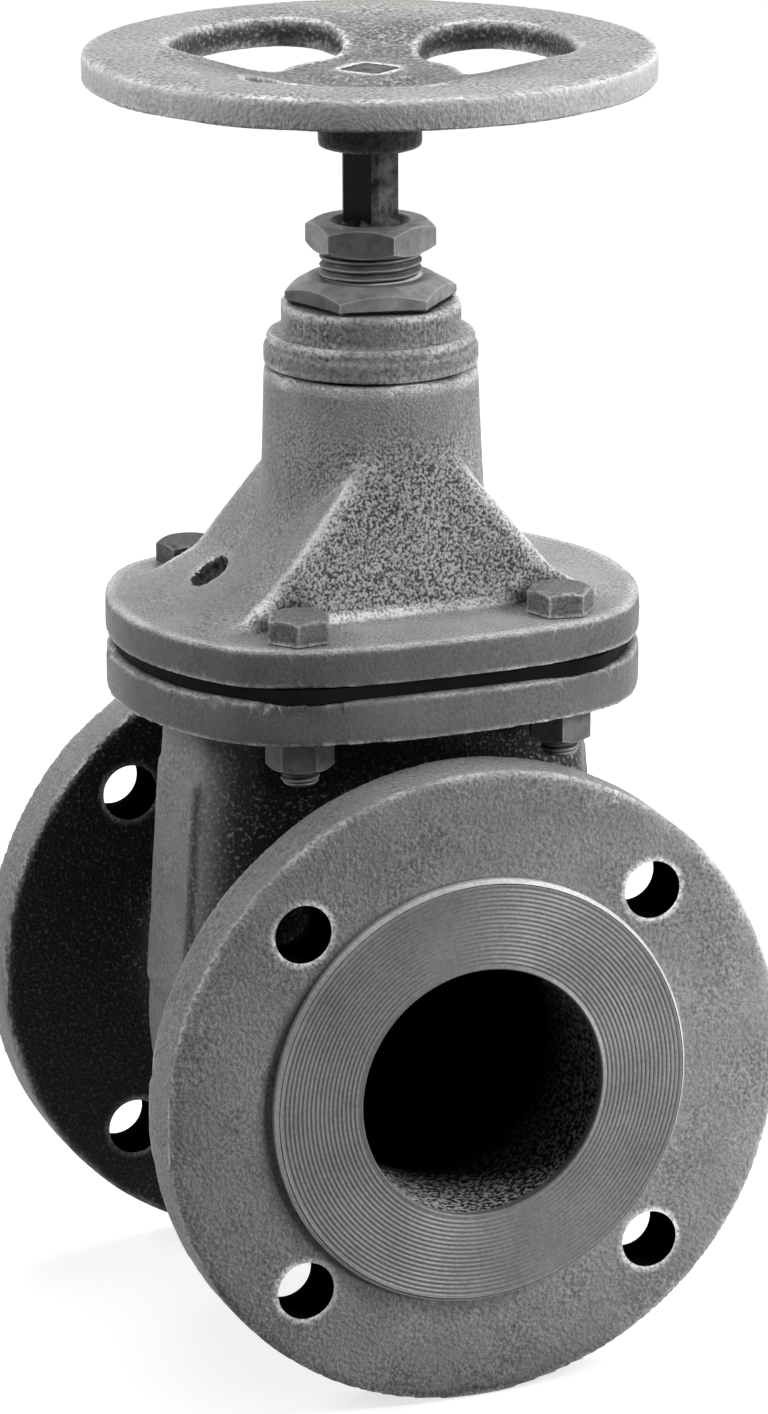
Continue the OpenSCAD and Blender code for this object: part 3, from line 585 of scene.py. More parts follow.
def grooved_face_tree():
    """Pushes the front of a ring in and out in even grooves round the flow axis."""
    tree, given = new_tree("grooved_face", "Face", ring="Geometry", pitch="Float", depth="Float",
                           inner_radius="Float", outer_radius="Float", middle="Float",
                           metal="Material")
    spot = add(tree, "GeometryNodeInputPosition").outputs[0]
    part = add(tree, "ShaderNodeSeparateXYZ", {0: spot}).outputs
    flat = add(tree, "ShaderNodeCombineXYZ", {0: part[0], 2: part[2]}).outputs[0]
    radius = add(tree, "ShaderNodeVectorMath", {0: flat}, operation="LENGTH").outputs["Value"]
    turns = add(tree, "ShaderNodeMath", {0: radius, 1: given["Pitch"]},
                operation="DIVIDE").outputs[0]
    after = add(tree, "ShaderNodeMath", {0: radius, 1: given["Inner radius"]},
                operation="GREATER_THAN").outputs[0]
    short = add(tree, "ShaderNodeMath", {0: radius, 1: given["Outer radius"]},
                operation="LESS_THAN").outputs[0]
    between = add(tree, "ShaderNodeMath", {0: after, 1: short}, operation="MULTIPLY").outputs[0]
    towards = add(tree, "ShaderNodeMath", {0: given["Middle"], 1: part[1]},
                  operation="SUBTRACT").outputs[0]
    side = add(tree, "ShaderNodeMath", {0: towards}, operation="SIGN").outputs[0]
    inwards = zigzag(tree, turns)
    for factor in (given["Depth"], side, between):
        inwards = add(tree, "ShaderNodeMath", {0: inwards, 1: factor},
                      operation="MULTIPLY").outputs[0]
    shift = add(tree, "ShaderNodeCombineXYZ", {1: inwards}).outputs[0]
    moved = add(tree, "GeometryNodeSetPosition", {"Geometry": given["Ring"], "Offset": shift})
    give_back(tree, moved.outputs[0], given["Metal"])
    return tree


def grown(thing, tree, **inputs):
    """Runs a node tree on a piece and keeps what it makes as the piece's plain mesh."""
    work = thing.modifiers.new("grown", "NODES")
    work.node_group = tree
    for item in tree.interface.items_tree:
        for key, value in inputs.items():
            if item.in_out == "INPUT" and item.name == socket_name(key):
                work[item.identifier] = value
    made = bpy.data.meshes.new_from_object(
        thing.evaluated_get(bpy.context.evaluated_depsgraph_get()))
    made.name = thing.name
    thing.modifiers.remove(work)
    old, thing.data = thing.data, made
    bpy.data.meshes.remove(old)


def set_ramp(ramp, *stops):
    """Sets the two ends of a colour ramp, each a position and a linear colour."""
    for element, (position, colour) in zip(ramp.color_ramp.elements, stops):
        element.position, element.color = position, colour


def cut_iron(name, hex_code, roughness):
    """Grey iron cut on a lathe and left bare: darker than steel, with a faint grain of graphite."""
    grain_mm, patch_mm, grain_depth_mm = 1.1, 22, 0.08
    material, tree, place = new_material(name)
    grain = add(tree, "ShaderNodeTexNoise", {"Vector": place, "Scale": 1000 / grain_mm,
                                             "Detail": 2}).outputs["Fac"]
    patch = add(tree, "ShaderNodeTexNoise", {"Vector": place, "Scale": 1000 / patch_mm,
                                             "Detail": 3}).outputs["Fac"]
    tone = add(tree, "ShaderNodeMix", {0: 0.5, 2: grain, 3: patch}).outputs[0]
    pale = linear(hex_code)
    dark = tuple(c * 0.62 for c in pale[:3]) + (1,)
    ramp = add(tree, "ShaderNodeValToRGB", {0: tone})
    set_ramp(ramp, (0.35, dark), (0.65, pale))
    bump = add(tree, "ShaderNodeBump", {"Height": grain, "Distance": grain_depth_mm * MM})
    skin = add(tree, "ShaderNodeBsdfPrincipled", {"Base Color": ramp.outputs[0], "Metallic": 0.15,
                                                  "Specular IOR Level": 0.15,
                                                  "Roughness": roughness,
                                                  "Normal": bump.outputs[0]})
    add(tree, "ShaderNodeOutputMaterial", {"Surface": skin.outputs[0]})
    return material


face_iron = cut_iron("turned_cast_iron", "929290", 0.42)
# the chamfer: bare cut iron painted near white as a highlight
edge_iron = cut_iron("worn_highlight_edge_iron", "f2f2f0", 0.36)
grooves = grooved_face_tree()
spacing = GROOVE_PITCH / 4
groove_count = int((FACE_R - BORE_R - 2.4) / spacing) + 1
radii = [BORE_R + GROOVE_PITCH + spacing * k for k in range(groove_count)]
for end, front, inwards in (("inlet", 0.0, 1), ("outlet", FACE_TO_FACE, -1)):
    profile = ([(BORE_R, front + BAND_T * inwards), (BORE_R, front + 0.4 * inwards),
                (BORE_R + 0.4, front)]
               + [(a, front) for a in radii]
               + [(FACE_R - FACE_CHAMFER, front), (FACE_R, front + FACE_CHAMFER * inwards),
                  (FACE_R, front + BAND_T * inwards)])
    ring = turned(end + "_raised_face", profile, "Y", (0, 0, 0), 180)
    grown(ring, grooves, pitch=GROOVE_PITCH * MM, depth=GROOVE_DEPTH * MM, metal=face_iron,
          inner_radius=(BORE_R + PLAIN_INNER) * MM, outer_radius=(FACE_R - PLAIN_OUTER) * MM,
          middle=MID_Y * MM)
    finish_faces(ring, 20)
    dress(ring, face_iron, "valve_body", "grey_cast_iron", "body")
    ring.data.materials.append(edge_iron)
    for face in ring.data.polygons:
        if math.hypot(face.center.x, face.center.z) > (FACE_R - FACE_CHAMFER + 0.1) * MM:
            face.material_index = 1

# ---- Bonnet ----------------------------------------------------------------
# A second iron casting that closes the chamber: a flange, a four-sided dome that
# clears the lifted gate, and a tapered neck for the stuffing box. The dome is cut
# back round the bolt heads, and a small hollow is left low on its left face.
BONNET_FOOT, BONNET_TOP = bonnet_lo[2], bonnet_hi[2]
PLATE_TOP = BONNET_FOOT + 12
NECK_FOOT_Z, NECK_FOOT_R, NECK_LEAN = 144, 35.5, 2.5 / 62.5
HEAD_POCKET_R, STEM_BORE_R, THRUST_R = 13.9, 9.3, 18
HOLLOW, HOLLOW_R = (-50.3, 100, 144.3), 6.5
BONNET_SAND_DEPTH = 0.4


def dome(x, y, z, foot, top, low, high, ridge):
    """Four sloping faces from a foot to a top, each half its width and length, with rounded
    ridges."""
    lean_x, lean_y = ((a - b) / (high - low) for a, b in zip(foot, top))
    side_x = (np.abs(x) - foot[0] + lean_x * (z - low)) / math.hypot(1, lean_x)
    side_y = (np.abs(y - MID_Y) - foot[1] + lean_y * (z - low)) / math.hypot(1, lean_y)
    return meet(meet(side_x, side_y, ridge), slab(z, low, high), 3)


def off_axis(x, y):
    """The distance from the stem's axis."""
    return np.sqrt(x * x + (y - MID_Y) ** 2)


def rough_dome(tree, place, facing):
    """Four sockets for a dome whose faces along the flow are rough from the mould and carry
    painted glints: how strong that roughness and those glints are, how much of the worn,
    highlighted edges stays, and two painted highlights, white lines at the foot and on the ridges."""
    foot_z, top_z, fade = 137, 192, 16
    height = add(tree, "ShaderNodeSeparateXYZ", {0: place}).outputs[2]
    turns = add(tree, "ShaderNodeSeparateXYZ", {0: facing}).outputs
    across = add(tree, "ShaderNodeMath", {0: turns[0]}, operation="ABSOLUTE").outputs[0]
    along = add(tree, "ShaderNodeMath", {0: turns[1]}, operation="ABSOLUTE").outputs[0]
    both = add(tree, "ShaderNodeMath", {0: across, 1: along}, operation="MINIMUM").outputs[0]
    front = add(tree, "ShaderNodeMapRange", {"Value": along, 1: 0.45, 2: 0.85}).outputs[0]
    above, below, keep, foot, rise = (
        add(tree, "ShaderNodeMapRange", {"Value": height, 1: start * MM, 2: end * MM, 3: least,
                                         4: 1.0}).outputs[0]
        for start, end, least in ((foot_z, foot_z + 2, 0.0), (top_z, top_z - fade, 0.0),
                                  (foot_z - 2, foot_z + 3, 0.4), (foot_z + 3.4, foot_z + 1.8, 0.0),
                                  (foot_z - 0.6, foot_z + 0.4, 0.0)))
    outer = add(tree, "ShaderNodeMapRange", {"Value": front, 1: 0.1, 2: 0.5}).outputs[0]
    ridge = add(tree, "ShaderNodeMapRange", {"Value": both, 1: 0.24, 2: 0.36}).outputs[0]
    sloping = add(tree, "ShaderNodeMapRange", {"Value": turns[2], 1: 0.42, 2: 0.54}).outputs[0]
    found = []
    for first, *others in ((above, below, front), (foot, rise, outer),
                           (ridge, above, below, sloping)):
        for other in others:
            first = add(tree, "ShaderNodeMath", {0: first, 1: other},
                        operation="MULTIPLY").outputs[0]
        found.append(first)
    rough_and_glints, foot, ridge = found
    return rough_and_glints, keep, foot, ridge


step, low, high = 1.2, (-85.2, 5.0, 120.0), (85.2, 175.0, 210.0)
x, y, z = lattice(low, high, step)
r = off_axis(x, y)
plate = meet(bonnet_outline(x, y), slab(z, BONNET_FOOT, PLATE_TOP), 1.0)
hood = dome(x, y, z, (58.9, 37.6), (15, 32), 130, 184, 3.0)
skirt = dome(x, y, z, (72, 39.5), (46.3, 36), 131, 145, 2.0)
neck = (r - NECK_FOOT_R + NECK_LEAN * (z - NECK_FOOT_Z)) / math.hypot(1, NECK_LEAN)
neck = meet(neck, slab(z, 130, BONNET_TOP), 0.8)
casting = join(join(join(hood, skirt, 3), neck, 2.5), plate, 3.5)
for at_x, at_y, _ in bolt_places:
    pocket = np.sqrt((x - at_x) ** 2 + (y - at_y) ** 2) - HEAD_POCKET_R
    casting = carve(casting, np.maximum(pocket, PLATE_TOP - z), 0.8)
hollow = np.sqrt((x - HOLLOW[0]) ** 2 + (y - HOLLOW[1]) ** 2 + (z - HOLLOW[2]) ** 2) - HOLLOW_R
casting = carve(casting, hollow, 0.4)
casting = carve(casting, dome(x, y, z, (51, 29), (18, 24), 123, 175, 5), 0.8)
bonnet = surface("bonnet_casting", casting + sand_skin(x, y, z, BONNET_SAND_DEPTH), low, step,
                 0.02)
tools = [turned("bore", [(0, 160), (STEM_BORE_R, 160), (STEM_BORE_R, 190), (THRUST_R, 190),
                         (THRUST_R, 210), (0, 210)], "Z", (0, MID_Y, 0))]
for at in bolt_places:
    tools.append(round_bar("hole", BOLT_HOLE_R, 120, 140, "Z", at, 32))
cut(bonnet, tools)
finish_faces(bonnet)
# the dome gets painted glints and painted highlights
bonnet_iron = cast_iron("primed_bonnet_iron", "4e4e4c", "d4d4d2", "ffffff", 0.95, 0.6, 1.7, 10,
                        4.4, rough=rough_dome)
dress(bonnet, bonnet_iron, "valve_body", "grey_cast_iron", "bonnet")
# painted shade in the hollow, and the darker primer copy on the flange's side
bonnet.data.materials.append(cast_iron("hollow_shade_iron", "0e0e0d", "6c6c6a", "b0b0ae", 1.5, 0.4,
                                       3.0, 22, 1.0, shine=0.04))
bonnet.data.materials.append(side_shade_iron)
for face in bonnet.data.polygons:
    if (face.center / MM - Vector(HOLLOW)).length < HOLLOW_R + 0.5:
        face.material_index = 1
    elif (BONNET_FOOT < face.center.z / MM < PLATE_TOP - 0.8 and abs(face.normal.z) < 0.6):
        face.material_index = 2

# ---- Stuffing box ----------------------------------------------------------
# A smaller casting screwed into the neck, turned to steps outside and left with
# two spanner flats on its barrel. It holds the packing round the stem.
box_lo, box_hi = extent("stuffing_box")
COLLAR_R, BOX_FOOT, BOX_TOP = box_hi[0], box_lo[2], box_hi[2]
TREAD_R, BARREL_R, SPIGOT_R, RELIEF_R = 31.8, 28, 18, 31
FLAT_OFF, FLAT_FOOT, FLAT_TURN = 27.2, 217.6, math.radians(165)
TOOL_MARK_PITCH, TOOL_MARK_DEPTH = 1.7, 0.5
PACKING_R, PACKING_FOOT = 14, 206.5
step, low, high = 0.6, (-36.0, 54.0, 195.0), (36.0, 126.0, 229.0)
x, y, z = lattice(low, high, step)
r = off_axis(x, y)
collar = meet(r - COLLAR_R, slab(z, 207.1, 213.5), 1.1)
tread = meet(r - TREAD_R, slab(z, 210, 217), 0.9)
barrel = meet(r - BARREL_R, slab(z, 212, BOX_TOP), 1.0)
across = x * math.cos(FLAT_TURN) + (y - MID_Y) * math.sin(FLAT_TURN)
barrel = carve(barrel, np.maximum(FLAT_OFF - np.abs(across), FLAT_FOOT - z), 0.5)
spigot = np.maximum(r - SPIGOT_R, slab(z, BOX_FOOT, 212))
relief = np.maximum(r - RELIEF_R, slab(z, PACKING_FOOT, 212))
marks = TOOL_MARK_DEPTH * np.cos(2 * math.pi * (z - 213.9) / TOOL_MARK_PITCH)
marks = marks * (np.abs(z - 215.2) < 1.9)
casting = np.minimum(np.minimum(join(collar, tread - marks, 0.5), join(tread, barrel, 1.0)),
                     np.minimum(spigot, relief))
stuffing_box = surface("stuffing_box_casting", casting + sand_skin(x, y, z, 0.25), low, step)
cut(stuffing_box, [turned("bore", [(0, 190), (STEM_BORE_R, 190), (STEM_BORE_R, PACKING_FOOT),
                                   (PACKING_R, PACKING_FOOT), (PACKING_R, 230), (0, 230)],
                          "Z", (0, MID_Y, 0))])
finish_faces(stuffing_box)
box_iron = cast_iron("primed_box_iron", "464644", "c4c4c2", "ffffff", 1.2, 0.5, 2.4, 6, 3.0)
dress(stuffing_box, box_iron, "valve_body", "grey_cast_iron", "stuffing_box")

# ---- Handwheel -------------------------------------------------------------
# One iron casting with three broad spokes that dish down from a crowned rim to a
# hub, so that three kidney windows are left. The hub is broached with a square
# for the stem. The rim's outer face, worn by hands, is painted lighter as light,
# and the hub and the window walls are painted dark as shade.
wheel_lo, wheel_hi = extent("handwheel")
RIM_R, WHEEL_TOP, HUB_FOOT = wheel_hi[0], wheel_hi[2], wheel_lo[2]
RIM_INNER, RIM_MIDDLE, RIM_HALF, RIM_T = 62.0, 75.5, 11.5, 10.5
CROWN, DISH, HUB_R, HUB_REACH = 0.8, 8, 16, 44.0
WINDOW_R, WINDOW_HALF, SPOKE_HALF, WINDOW_TURNS = 45.25, 17.25, 12, (3, 123, 243)
SQUARE_TURN, SIDES = 33, 96
ANGLES = [2 * math.pi * i / SIDES for i in range(SIDES)]
step, low, high = 1.1, (-90.2, -0.2, 270.0), (90.2, 180.2, 308.0)
x, y, z = lattice(low, high, step)
r = off_axis(x, y)
across = np.clip((RIM_INNER - r) / HUB_REACH, 0, 1)
dish = DISH * (1 - np.cos(math.pi * across)) / 2
crown = WHEEL_TOP - CROWN * (np.clip(np.abs(r - RIM_MIDDLE) / RIM_HALF, 0, 1.3)) ** 2.0
crown = np.where(r < RIM_INNER + 1.5, np.minimum(crown, WHEEL_TOP - 1.1 - dish), crown)
under = WHEEL_TOP - RIM_T - 5.5 * np.clip((RIM_INNER - r) / 41, 0, 1)
wheel = meet(r - RIM_R, meet(z - crown, under - z, 1.5), 1.8)
wheel = join(wheel, meet(r - HUB_R, slab(z, HUB_FOOT, HUB_FOOT + 23), 1.5), 5)
angle = np.arctan2(y - MID_Y, x)
span = math.radians(60) - math.asin((SPOKE_HALF + WINDOW_HALF) / WINDOW_R)
windows = np.inf
for middle in map(math.radians, WINDOW_TURNS):
    off = (angle - middle + math.pi) % (2 * math.pi) - math.pi
    near = np.clip(off, -span, span) + middle
    gap = np.sqrt((x - WINDOW_R * np.cos(near)) ** 2
                  + (y - MID_Y - WINDOW_R * np.sin(near)) ** 2) - WINDOW_HALF
    windows = np.minimum(windows, gap)
casting = carve(wheel, windows, 1.5)
wheel_casting = surface("handwheel_casting", casting + sand_skin(x, y, z, 0.35), low, step)


def ring_of(reach, heights, turn_deg):
    """A ring of points about the Z axis, from their distances and heights."""
    turn = math.radians(turn_deg)
    return [(q * math.cos(a + turn), q * math.sin(a + turn), h)
            for q, a, h in zip(reach, ANGLES, heights)]


def lofted(name, rings, centre):
    """A closed piece through rings of points, capped at both ends."""
    made = bmesh.new()
    rows = [[made.verts.new((Vector(p) + Vector(centre)) * MM) for p in ring] for ring in rings]
    for a, b in zip(rows, rows[1:]):
        for i in range(len(a)):
            made.faces.new([a[i], a[(i + 1) % len(a)], b[(i + 1) % len(a)], b[i]])
    made.faces.new(rows[0])
    made.faces.new(rows[-1])
    bmesh.ops.recalc_face_normals(made, faces=made.faces)
    thing = taken_from(made, name)
    turn_outwards(thing)
    return thing


def square_bar(name, half, corner_r, low, high):
    """A square bar on the stem's axis, with its corners left round."""
    reach = [min(half / max(abs(math.cos(a)), abs(math.sin(a))), corner_r) for a in ANGLES]
    rings = [[(u, MID_Y + v, h) for u, v, h in ring_of(reach, [end] * SIDES, SQUARE_TURN)]
             for end in (low, high)]
    return lofted(name, rings, (0, 0, 0))


def window_wall_shade(tree, place, facing):
    """0.8 on the upright walls of the wheel's windows, and up to 0.5 on its web near the hub, for
    painted shade.
    """
    up = add(tree, "ShaderNodeSeparateXYZ", {0: facing}).outputs[2]
    up = add(tree, "ShaderNodeMath", {0: up}, operation="ABSOLUTE").outputs[0]
    wall = add(tree, "ShaderNodeMapRange", {"Value": up, 1: 0.6, 2: 0.25, 3: 0.0, 4: 0.8})
    from_hub = add(tree, "ShaderNodeVectorMath", {0: place, 1: (0, MID_Y * MM, 0.3)},
                   operation="DISTANCE").outputs["Value"]
    web = add(tree, "ShaderNodeMapRange", {"Value": from_hub, 1: 66 * MM, 2: 46 * MM, 3: 0.0,
                                           4: 0.5})
    return add(tree, "ShaderNodeMath", {0: wall.outputs[0], 1: web.outputs[0]},
               operation="MAXIMUM").outputs[0]


cut(wheel_casting, [square_bar("broach", 7.1, 8.9, 268, 310)])
finish_faces(wheel_casting)
# the window walls and the web near the hub take painted shade
wheel_iron = cast_iron("primed_wheel_iron", "4a4a48", "b8b8b6", "ffffff", 1.3, 0.45, 3.0, 14, 3.4,
                       bare=window_wall_shade)
dress(wheel_casting, wheel_iron, "wheel_and_stem", "wheel_cast_iron", "handwheel")
# the rim's outer face: worn by hands and painted lighter as light; the hub: painted dark as shade
wheel_casting.data.materials.append(cast_iron("hand_worn_lit_rim_iron", "a6a6a4", "f8f8f6", "ffffff",
                                              1.3, 0.45, 1.8, 14, 3.0))
wheel_casting.data.materials.append(cast_iron("hub_shade_iron", "050505", "545452", "b0b0ae",
                                              1.6, 0.45, 3.4, 14, 1.2))
for face in wheel_casting.data.polygons:
    from_axis = math.hypot(face.center.x, face.center.y - MID_Y * MM) / MM
    if from_axis > RIM_R - 1.8 and abs(face.normal.z) < 0.75:
        face.material_index = 1
    elif from_axis < HUB_R + 3 and face.center.z / MM < HUB_FOOT + 20:
        face.material_index = 2

# ---- Hexagon bolts and nuts ------------------------------------------------
# Four M12 bolts with forged hexagon heads hold the bonnet down, each with a nut
# under the body flange. They are zinc plated steel, chamfered on their corners,
# the near heads in a lighter copy of their colour as painted light and the far
# ones in a darker copy as painted shade.
BOLT_R, THREAD_PITCH, THREAD_DEPTH, CORE_R, TAIL_L = 6.0, 1.75, 1.0, 5.6, 7.0
bolt_lo, bolt_hi = extent("bonnet_bolt_1")
nut_lo, nut_hi = extent("bonnet_nut_1")
BOLT_AF, BOLT_CHAMFER = 18, 1.2


def hexagon_reach(half):
    """How far a hexagon with flats at half from its middle reaches, at each of ANGLES."""
    return [half / math.cos(a % (math.pi / 3) - math.pi / 6) for a in ANGLES]


def hexagon_rings(across_flats, low, high, chamfer_low, chamfer_high, turn_deg):
    """Rings of a hexagonal bar whose corners are turned off by a 30 degree cone at either end."""
    half, fall = across_flats / 2, math.tan(math.radians(30))
    corner = half / math.cos(math.radians(30))
    reach = hexagon_reach(half)
    rings = []
    for end, chamfer, inwards in ((low, chamfer_low, 1), (high, chamfer_high, -1)):
        pair = [ring_of(reach, [end] * SIDES, turn_deg)]
        if chamfer:
            face = min(corner - chamfer / fall, half - 0.4)
            heights = [end + inwards * fall * (q - face) for q in reach]
            pair = [ring_of([face] * SIDES, [end] * SIDES, turn_deg),
                    ring_of(reach, heights, turn_deg)]
        rings += pair[::inwards]
    return rings


def thread_tree():
    """A threaded bar on the Z axis: the wall of a cylinder moved in and out by a helical wave."""
    tree, given = new_tree("threaded_bar", "Bars", places="Geometry", radius="Float",
                           length="Float", pitch="Float", depth="Float", chamfer="Float",
                           rings="Int", metal="Material")
    bar = add(tree, "GeometryNodeMeshCylinder", {"Vertices": 40, "Side Segments": given["Rings"],
                                                 "Fill Segments": 1, "Radius": given["Radius"],
                                                 "Depth": given["Length"]}).outputs["Mesh"]
    spot = add(tree, "GeometryNodeInputPosition").outputs[0]
    part = add(tree, "ShaderNodeSeparateXYZ", {0: spot}).outputs

    # the groove follows the height in pitches, less the share of a turn
    angle = add(tree, "ShaderNodeMath", {0: part[1], 1: part[0]}, operation="ARCTAN2").outputs[0]
    share = add(tree, "ShaderNodeMath", {0: angle, 1: 2 * math.pi}, operation="DIVIDE").outputs[0]
    climb = add(tree, "ShaderNodeMath", {0: part[2], 1: given["Pitch"]},
                operation="DIVIDE").outputs[0]
    turns = add(tree, "ShaderNodeMath", {0: climb, 1: share}, operation="SUBTRACT").outputs[0]
    whole = add(tree, "ShaderNodeMath", {0: given["Depth"], 1: 2.0},
                operation="MULTIPLY").outputs[0]
    groove = add(tree, "ShaderNodeMath", {0: zigzag(tree, turns), 1: whole},
                 operation="MULTIPLY").outputs[0]

    # the ends are turned down to a nose
    half = add(tree, "ShaderNodeMath", {0: given["Length"], 1: 0.5},
               operation="MULTIPLY").outputs[0]
    height = add(tree, "ShaderNodeMath", {0: part[2]}, operation="ABSOLUTE").outputs[0]
    end = add(tree, "ShaderNodeMath", {0: half, 1: height}, operation="SUBTRACT").outputs[0]
    nose = add(tree, "ShaderNodeMath", {0: given["Chamfer"], 1: end},
               operation="SUBTRACT").outputs[0]
    nose = add(tree, "ShaderNodeMath", {0: nose, 1: 0.0}, operation="MAXIMUM").outputs[0]
    deeper = add(tree, "ShaderNodeMath", {0: groove, 1: nose}, operation="MAXIMUM").outputs[0]
    shrink = add(tree, "ShaderNodeMath", {0: deeper, 1: given["Radius"]},
                 operation="DIVIDE").outputs[0]
    keep = add(tree, "ShaderNodeMath", {0: 1.0, 1: shrink}, operation="SUBTRACT").outputs[0]
    across = [add(tree, "ShaderNodeMath", {0: axis, 1: keep}, operation="MULTIPLY").outputs[0]
              for axis in (part[0], part[1])]
    scaled = add(tree, "ShaderNodeCombineXYZ", {0: across[0], 1: across[1], 2: part[2]})
    threaded = add(tree, "GeometryNodeSetPosition", {"Geometry": bar,
                                                     "Position": scaled.outputs[0]})
    placed = add(tree, "GeometryNodeInstanceOnPoints", {"Points": given["Places"],
                                                        "Instance": threaded.outputs[0]})
    give_back(tree, placed.outputs[0], given["Metal"])
    return tree


threads = thread_tree()


def threaded_bars(name, places, metal, radius, length, pitch, depth, chamfer):
    """Threaded bars of one size, each centred on one of the places in mm."""
    mesh = bpy.data.meshes.new(name)
    mesh.from_pydata([Vector(p) * MM for p in places], [], [])
    thing = put_in_scene(name, mesh)
    grown(thing, threads, radius=radius * MM, length=length * MM, pitch=pitch * MM,
          depth=depth * MM, chamfer=chamfer * MM, rings=round(length / pitch * 8), metal=metal)
    turn_outwards(thing)
    return thing


def merged(name, parts):
    """Several closed pieces as one."""
    made = bmesh.new()
    for part in parts:
        made.from_mesh(part.data)
        bpy.data.objects.remove(part)
    return taken_from(made, name)


def plated_steel(name, hex_code, dull, worn, roughness):
    """Zinc plated steel that has been handled: a dull grey metal in pale and dark clouds, with
    corners worn pale and painted as highlights, painted shade where it meets other pieces, and a
    fine grain."""
    cloud_mm, grain_mm, grain_depth_mm, corner_shade_mm, edge_mm = 5, 0.9, 0.12, 9, 0.9
    material, tree, place = new_material(name)
    cloud = add(tree, "ShaderNodeTexNoise", {"Vector": place, "Scale": 1000 / cloud_mm,
                                             "Detail": 5, "Roughness": 0.65}).outputs["Fac"]
    grain = add(tree, "ShaderNodeTexNoise", {"Vector": place, "Scale": 1000 / grain_mm,
                                             "Detail": 2}).outputs["Fac"]
    coat = add(tree, "ShaderNodeMix", {0: cloud, 6: linear(dull), 7: linear(hex_code)},
               data_type="RGBA").outputs[2]
    # painted shade where it meets other pieces, and corners worn pale and painted as highlights
    corner = add(tree, "ShaderNodeAmbientOcclusion", {"Distance": corner_shade_mm * MM}, samples=6)
    corner_shade = add(tree, "ShaderNodeMapRange", {"Value": corner.outputs["AO"], 1: 0.7, 2: 0.25,
                                            3: 0.0, 4: 0.95}).outputs[0]
    shaded_coat = add(tree, "ShaderNodeMix", {0: corner_shade, 6: coat, 7: linear("0a0a0a")},
                data_type="RGBA").outputs[2]
    edge = add(tree, "ShaderNodeAmbientOcclusion", {"Distance": edge_mm * MM}, inside=True,
               only_local=True, samples=6)
    worn_highlight = add(tree, "ShaderNodeMapRange", {"Value": edge.outputs["AO"], 1: 0.85, 2: 0.6,
                                              3: 0.0, 4: 0.8}).outputs[0]
    colour = add(tree, "ShaderNodeMix", {0: worn_highlight, 6: shaded_coat, 7: linear(worn)},
                 data_type="RGBA").outputs[2]
    gloss = add(tree, "ShaderNodeMapRange", {"Value": cloud, 1: 0.35, 2: 0.65,
                                             3: roughness + 0.15, 4: roughness}).outputs[0]
    bump = add(tree, "ShaderNodeBump", {"Height": grain, "Distance": grain_depth_mm * MM})
    skin = add(tree, "ShaderNodeBsdfPrincipled", {"Base Color": colour, "Metallic": 0.1,
                                                  "Specular IOR Level": 0.14, "Roughness": gloss,
                                                  "Normal": bump.outputs[0]})
    add(tree, "ShaderNodeOutputMaterial", {"Surface": skin.outputs[0]})
    return material


zinc = plated_steel("dull_zinc_plated_steel", "868684", "343432", "d0d0ce", 0.4)
far_heads_shade = cast_iron("forged_steel_far_shade", "20201f", "727270", "b8b8b6", 1.0, 0.3, 2.0, 8,
                          1.0)
near_heads_light = cast_iron("forged_steel_near_light", "363634", "9a9a98", "f0f0ee", 1.0, 0.3, 2.2, 6,
                         1.4)
heads, nuts, tail_places = [], [], []
for sx, sy, head_turn, nut_turn in ((-1, -1, 8, 38), (1, -1, 49, 12), (1, 1, 17, 50),
                                    (-1, 1, 41, 25)):
    at = (sx * BOLT_X, MID_Y + sy * BOLT_OFF, 0)
    heads.append(lofted("head", hexagon_rings(BOLT_AF, PLATE_TOP, bolt_hi[2], 0, BOLT_CHAMFER,
                                              head_turn), at))
    heads.append(round_bar("shank", CORE_R, nut_lo[2] + 1, PLATE_TOP + 0.5, "Z", at, 32))
    nuts.append(lofted("nut", hexagon_rings(BOLT_AF, nut_lo[2], nut_hi[2], BOLT_CHAMFER,
                                            BOLT_CHAMFER, nut_turn), at))
    tail_places.append((at[0], at[1], bolt_lo[2] + TAIL_L / 2))
tails = threaded_bars("tails", tail_places, zinc, BOLT_R, TAIL_L, THREAD_PITCH, THREAD_DEPTH, 1.4)
bolts = merged("bonnet_bolts", heads + [tails])
finish_faces(bolts, 25)
dress(bolts, zinc, "valve_body", "plated_steel", "bonnet_bolt_1", "bonnet_bolt_2", "bonnet_bolt_3",
      "bonnet_bolt_4")
bolts.data.materials.append(far_heads_shade)
bolts.data.materials.append(near_heads_light)
# near heads: painted light; far heads: painted shade
for face in bolts.data.polygons:
    if face.center.z / MM > PLATE_TOP - 0.1:
        face.material_index = 1 if face.center.y / MM > MID_Y else 2
nut_set = merged("bonnet_nuts", nuts)
finish_faces(nut_set, 25)
dress(nut_set, zinc, "valve_body", "plated_steel", "bonnet_nut_1", "bonnet_nut_2", "bonnet_nut_3",
      "bonnet_nut_4")

# ---- Gland and packing nut -------------------------------------------------
# The gland is a hexagon turned to a cone above, with a threaded nose; screwed
# down, it presses the packing. The packing nut on the nose locks it. Both are
# plated steel; the gland's nose and left facet and the nut's front facet are
# painted dark as shade.
gland_lo, gland_hi = extent("gland")
nut_foot, nut_top = (corner[2] for corner in extent("packing_nut"))
GLAND_HALF, GLAND_CHAMFER, GLAND_TURN = 23.0, 1.3, 48
CONE_TOP_R, CONE_TOP, CONE_SLOPE = 19.35, 234.0, 4.62 / 8.21
NOSE_R, NOSE_L, NOSE_PITCH, NOSE_DEPTH = 15.85, 9.0, 2.6, 1.3
gland_steel = plated_steel("worn_zinc_plated_steel", "c2c2c0", "4c4c4a", "f8f8f6", 0.36)
shaded_zinc = plated_steel("shaded_zinc_plated_steel", "8c8c8a", "343433", "e0e0de", 0.45)
reach = hexagon_reach(GLAND_HALF)
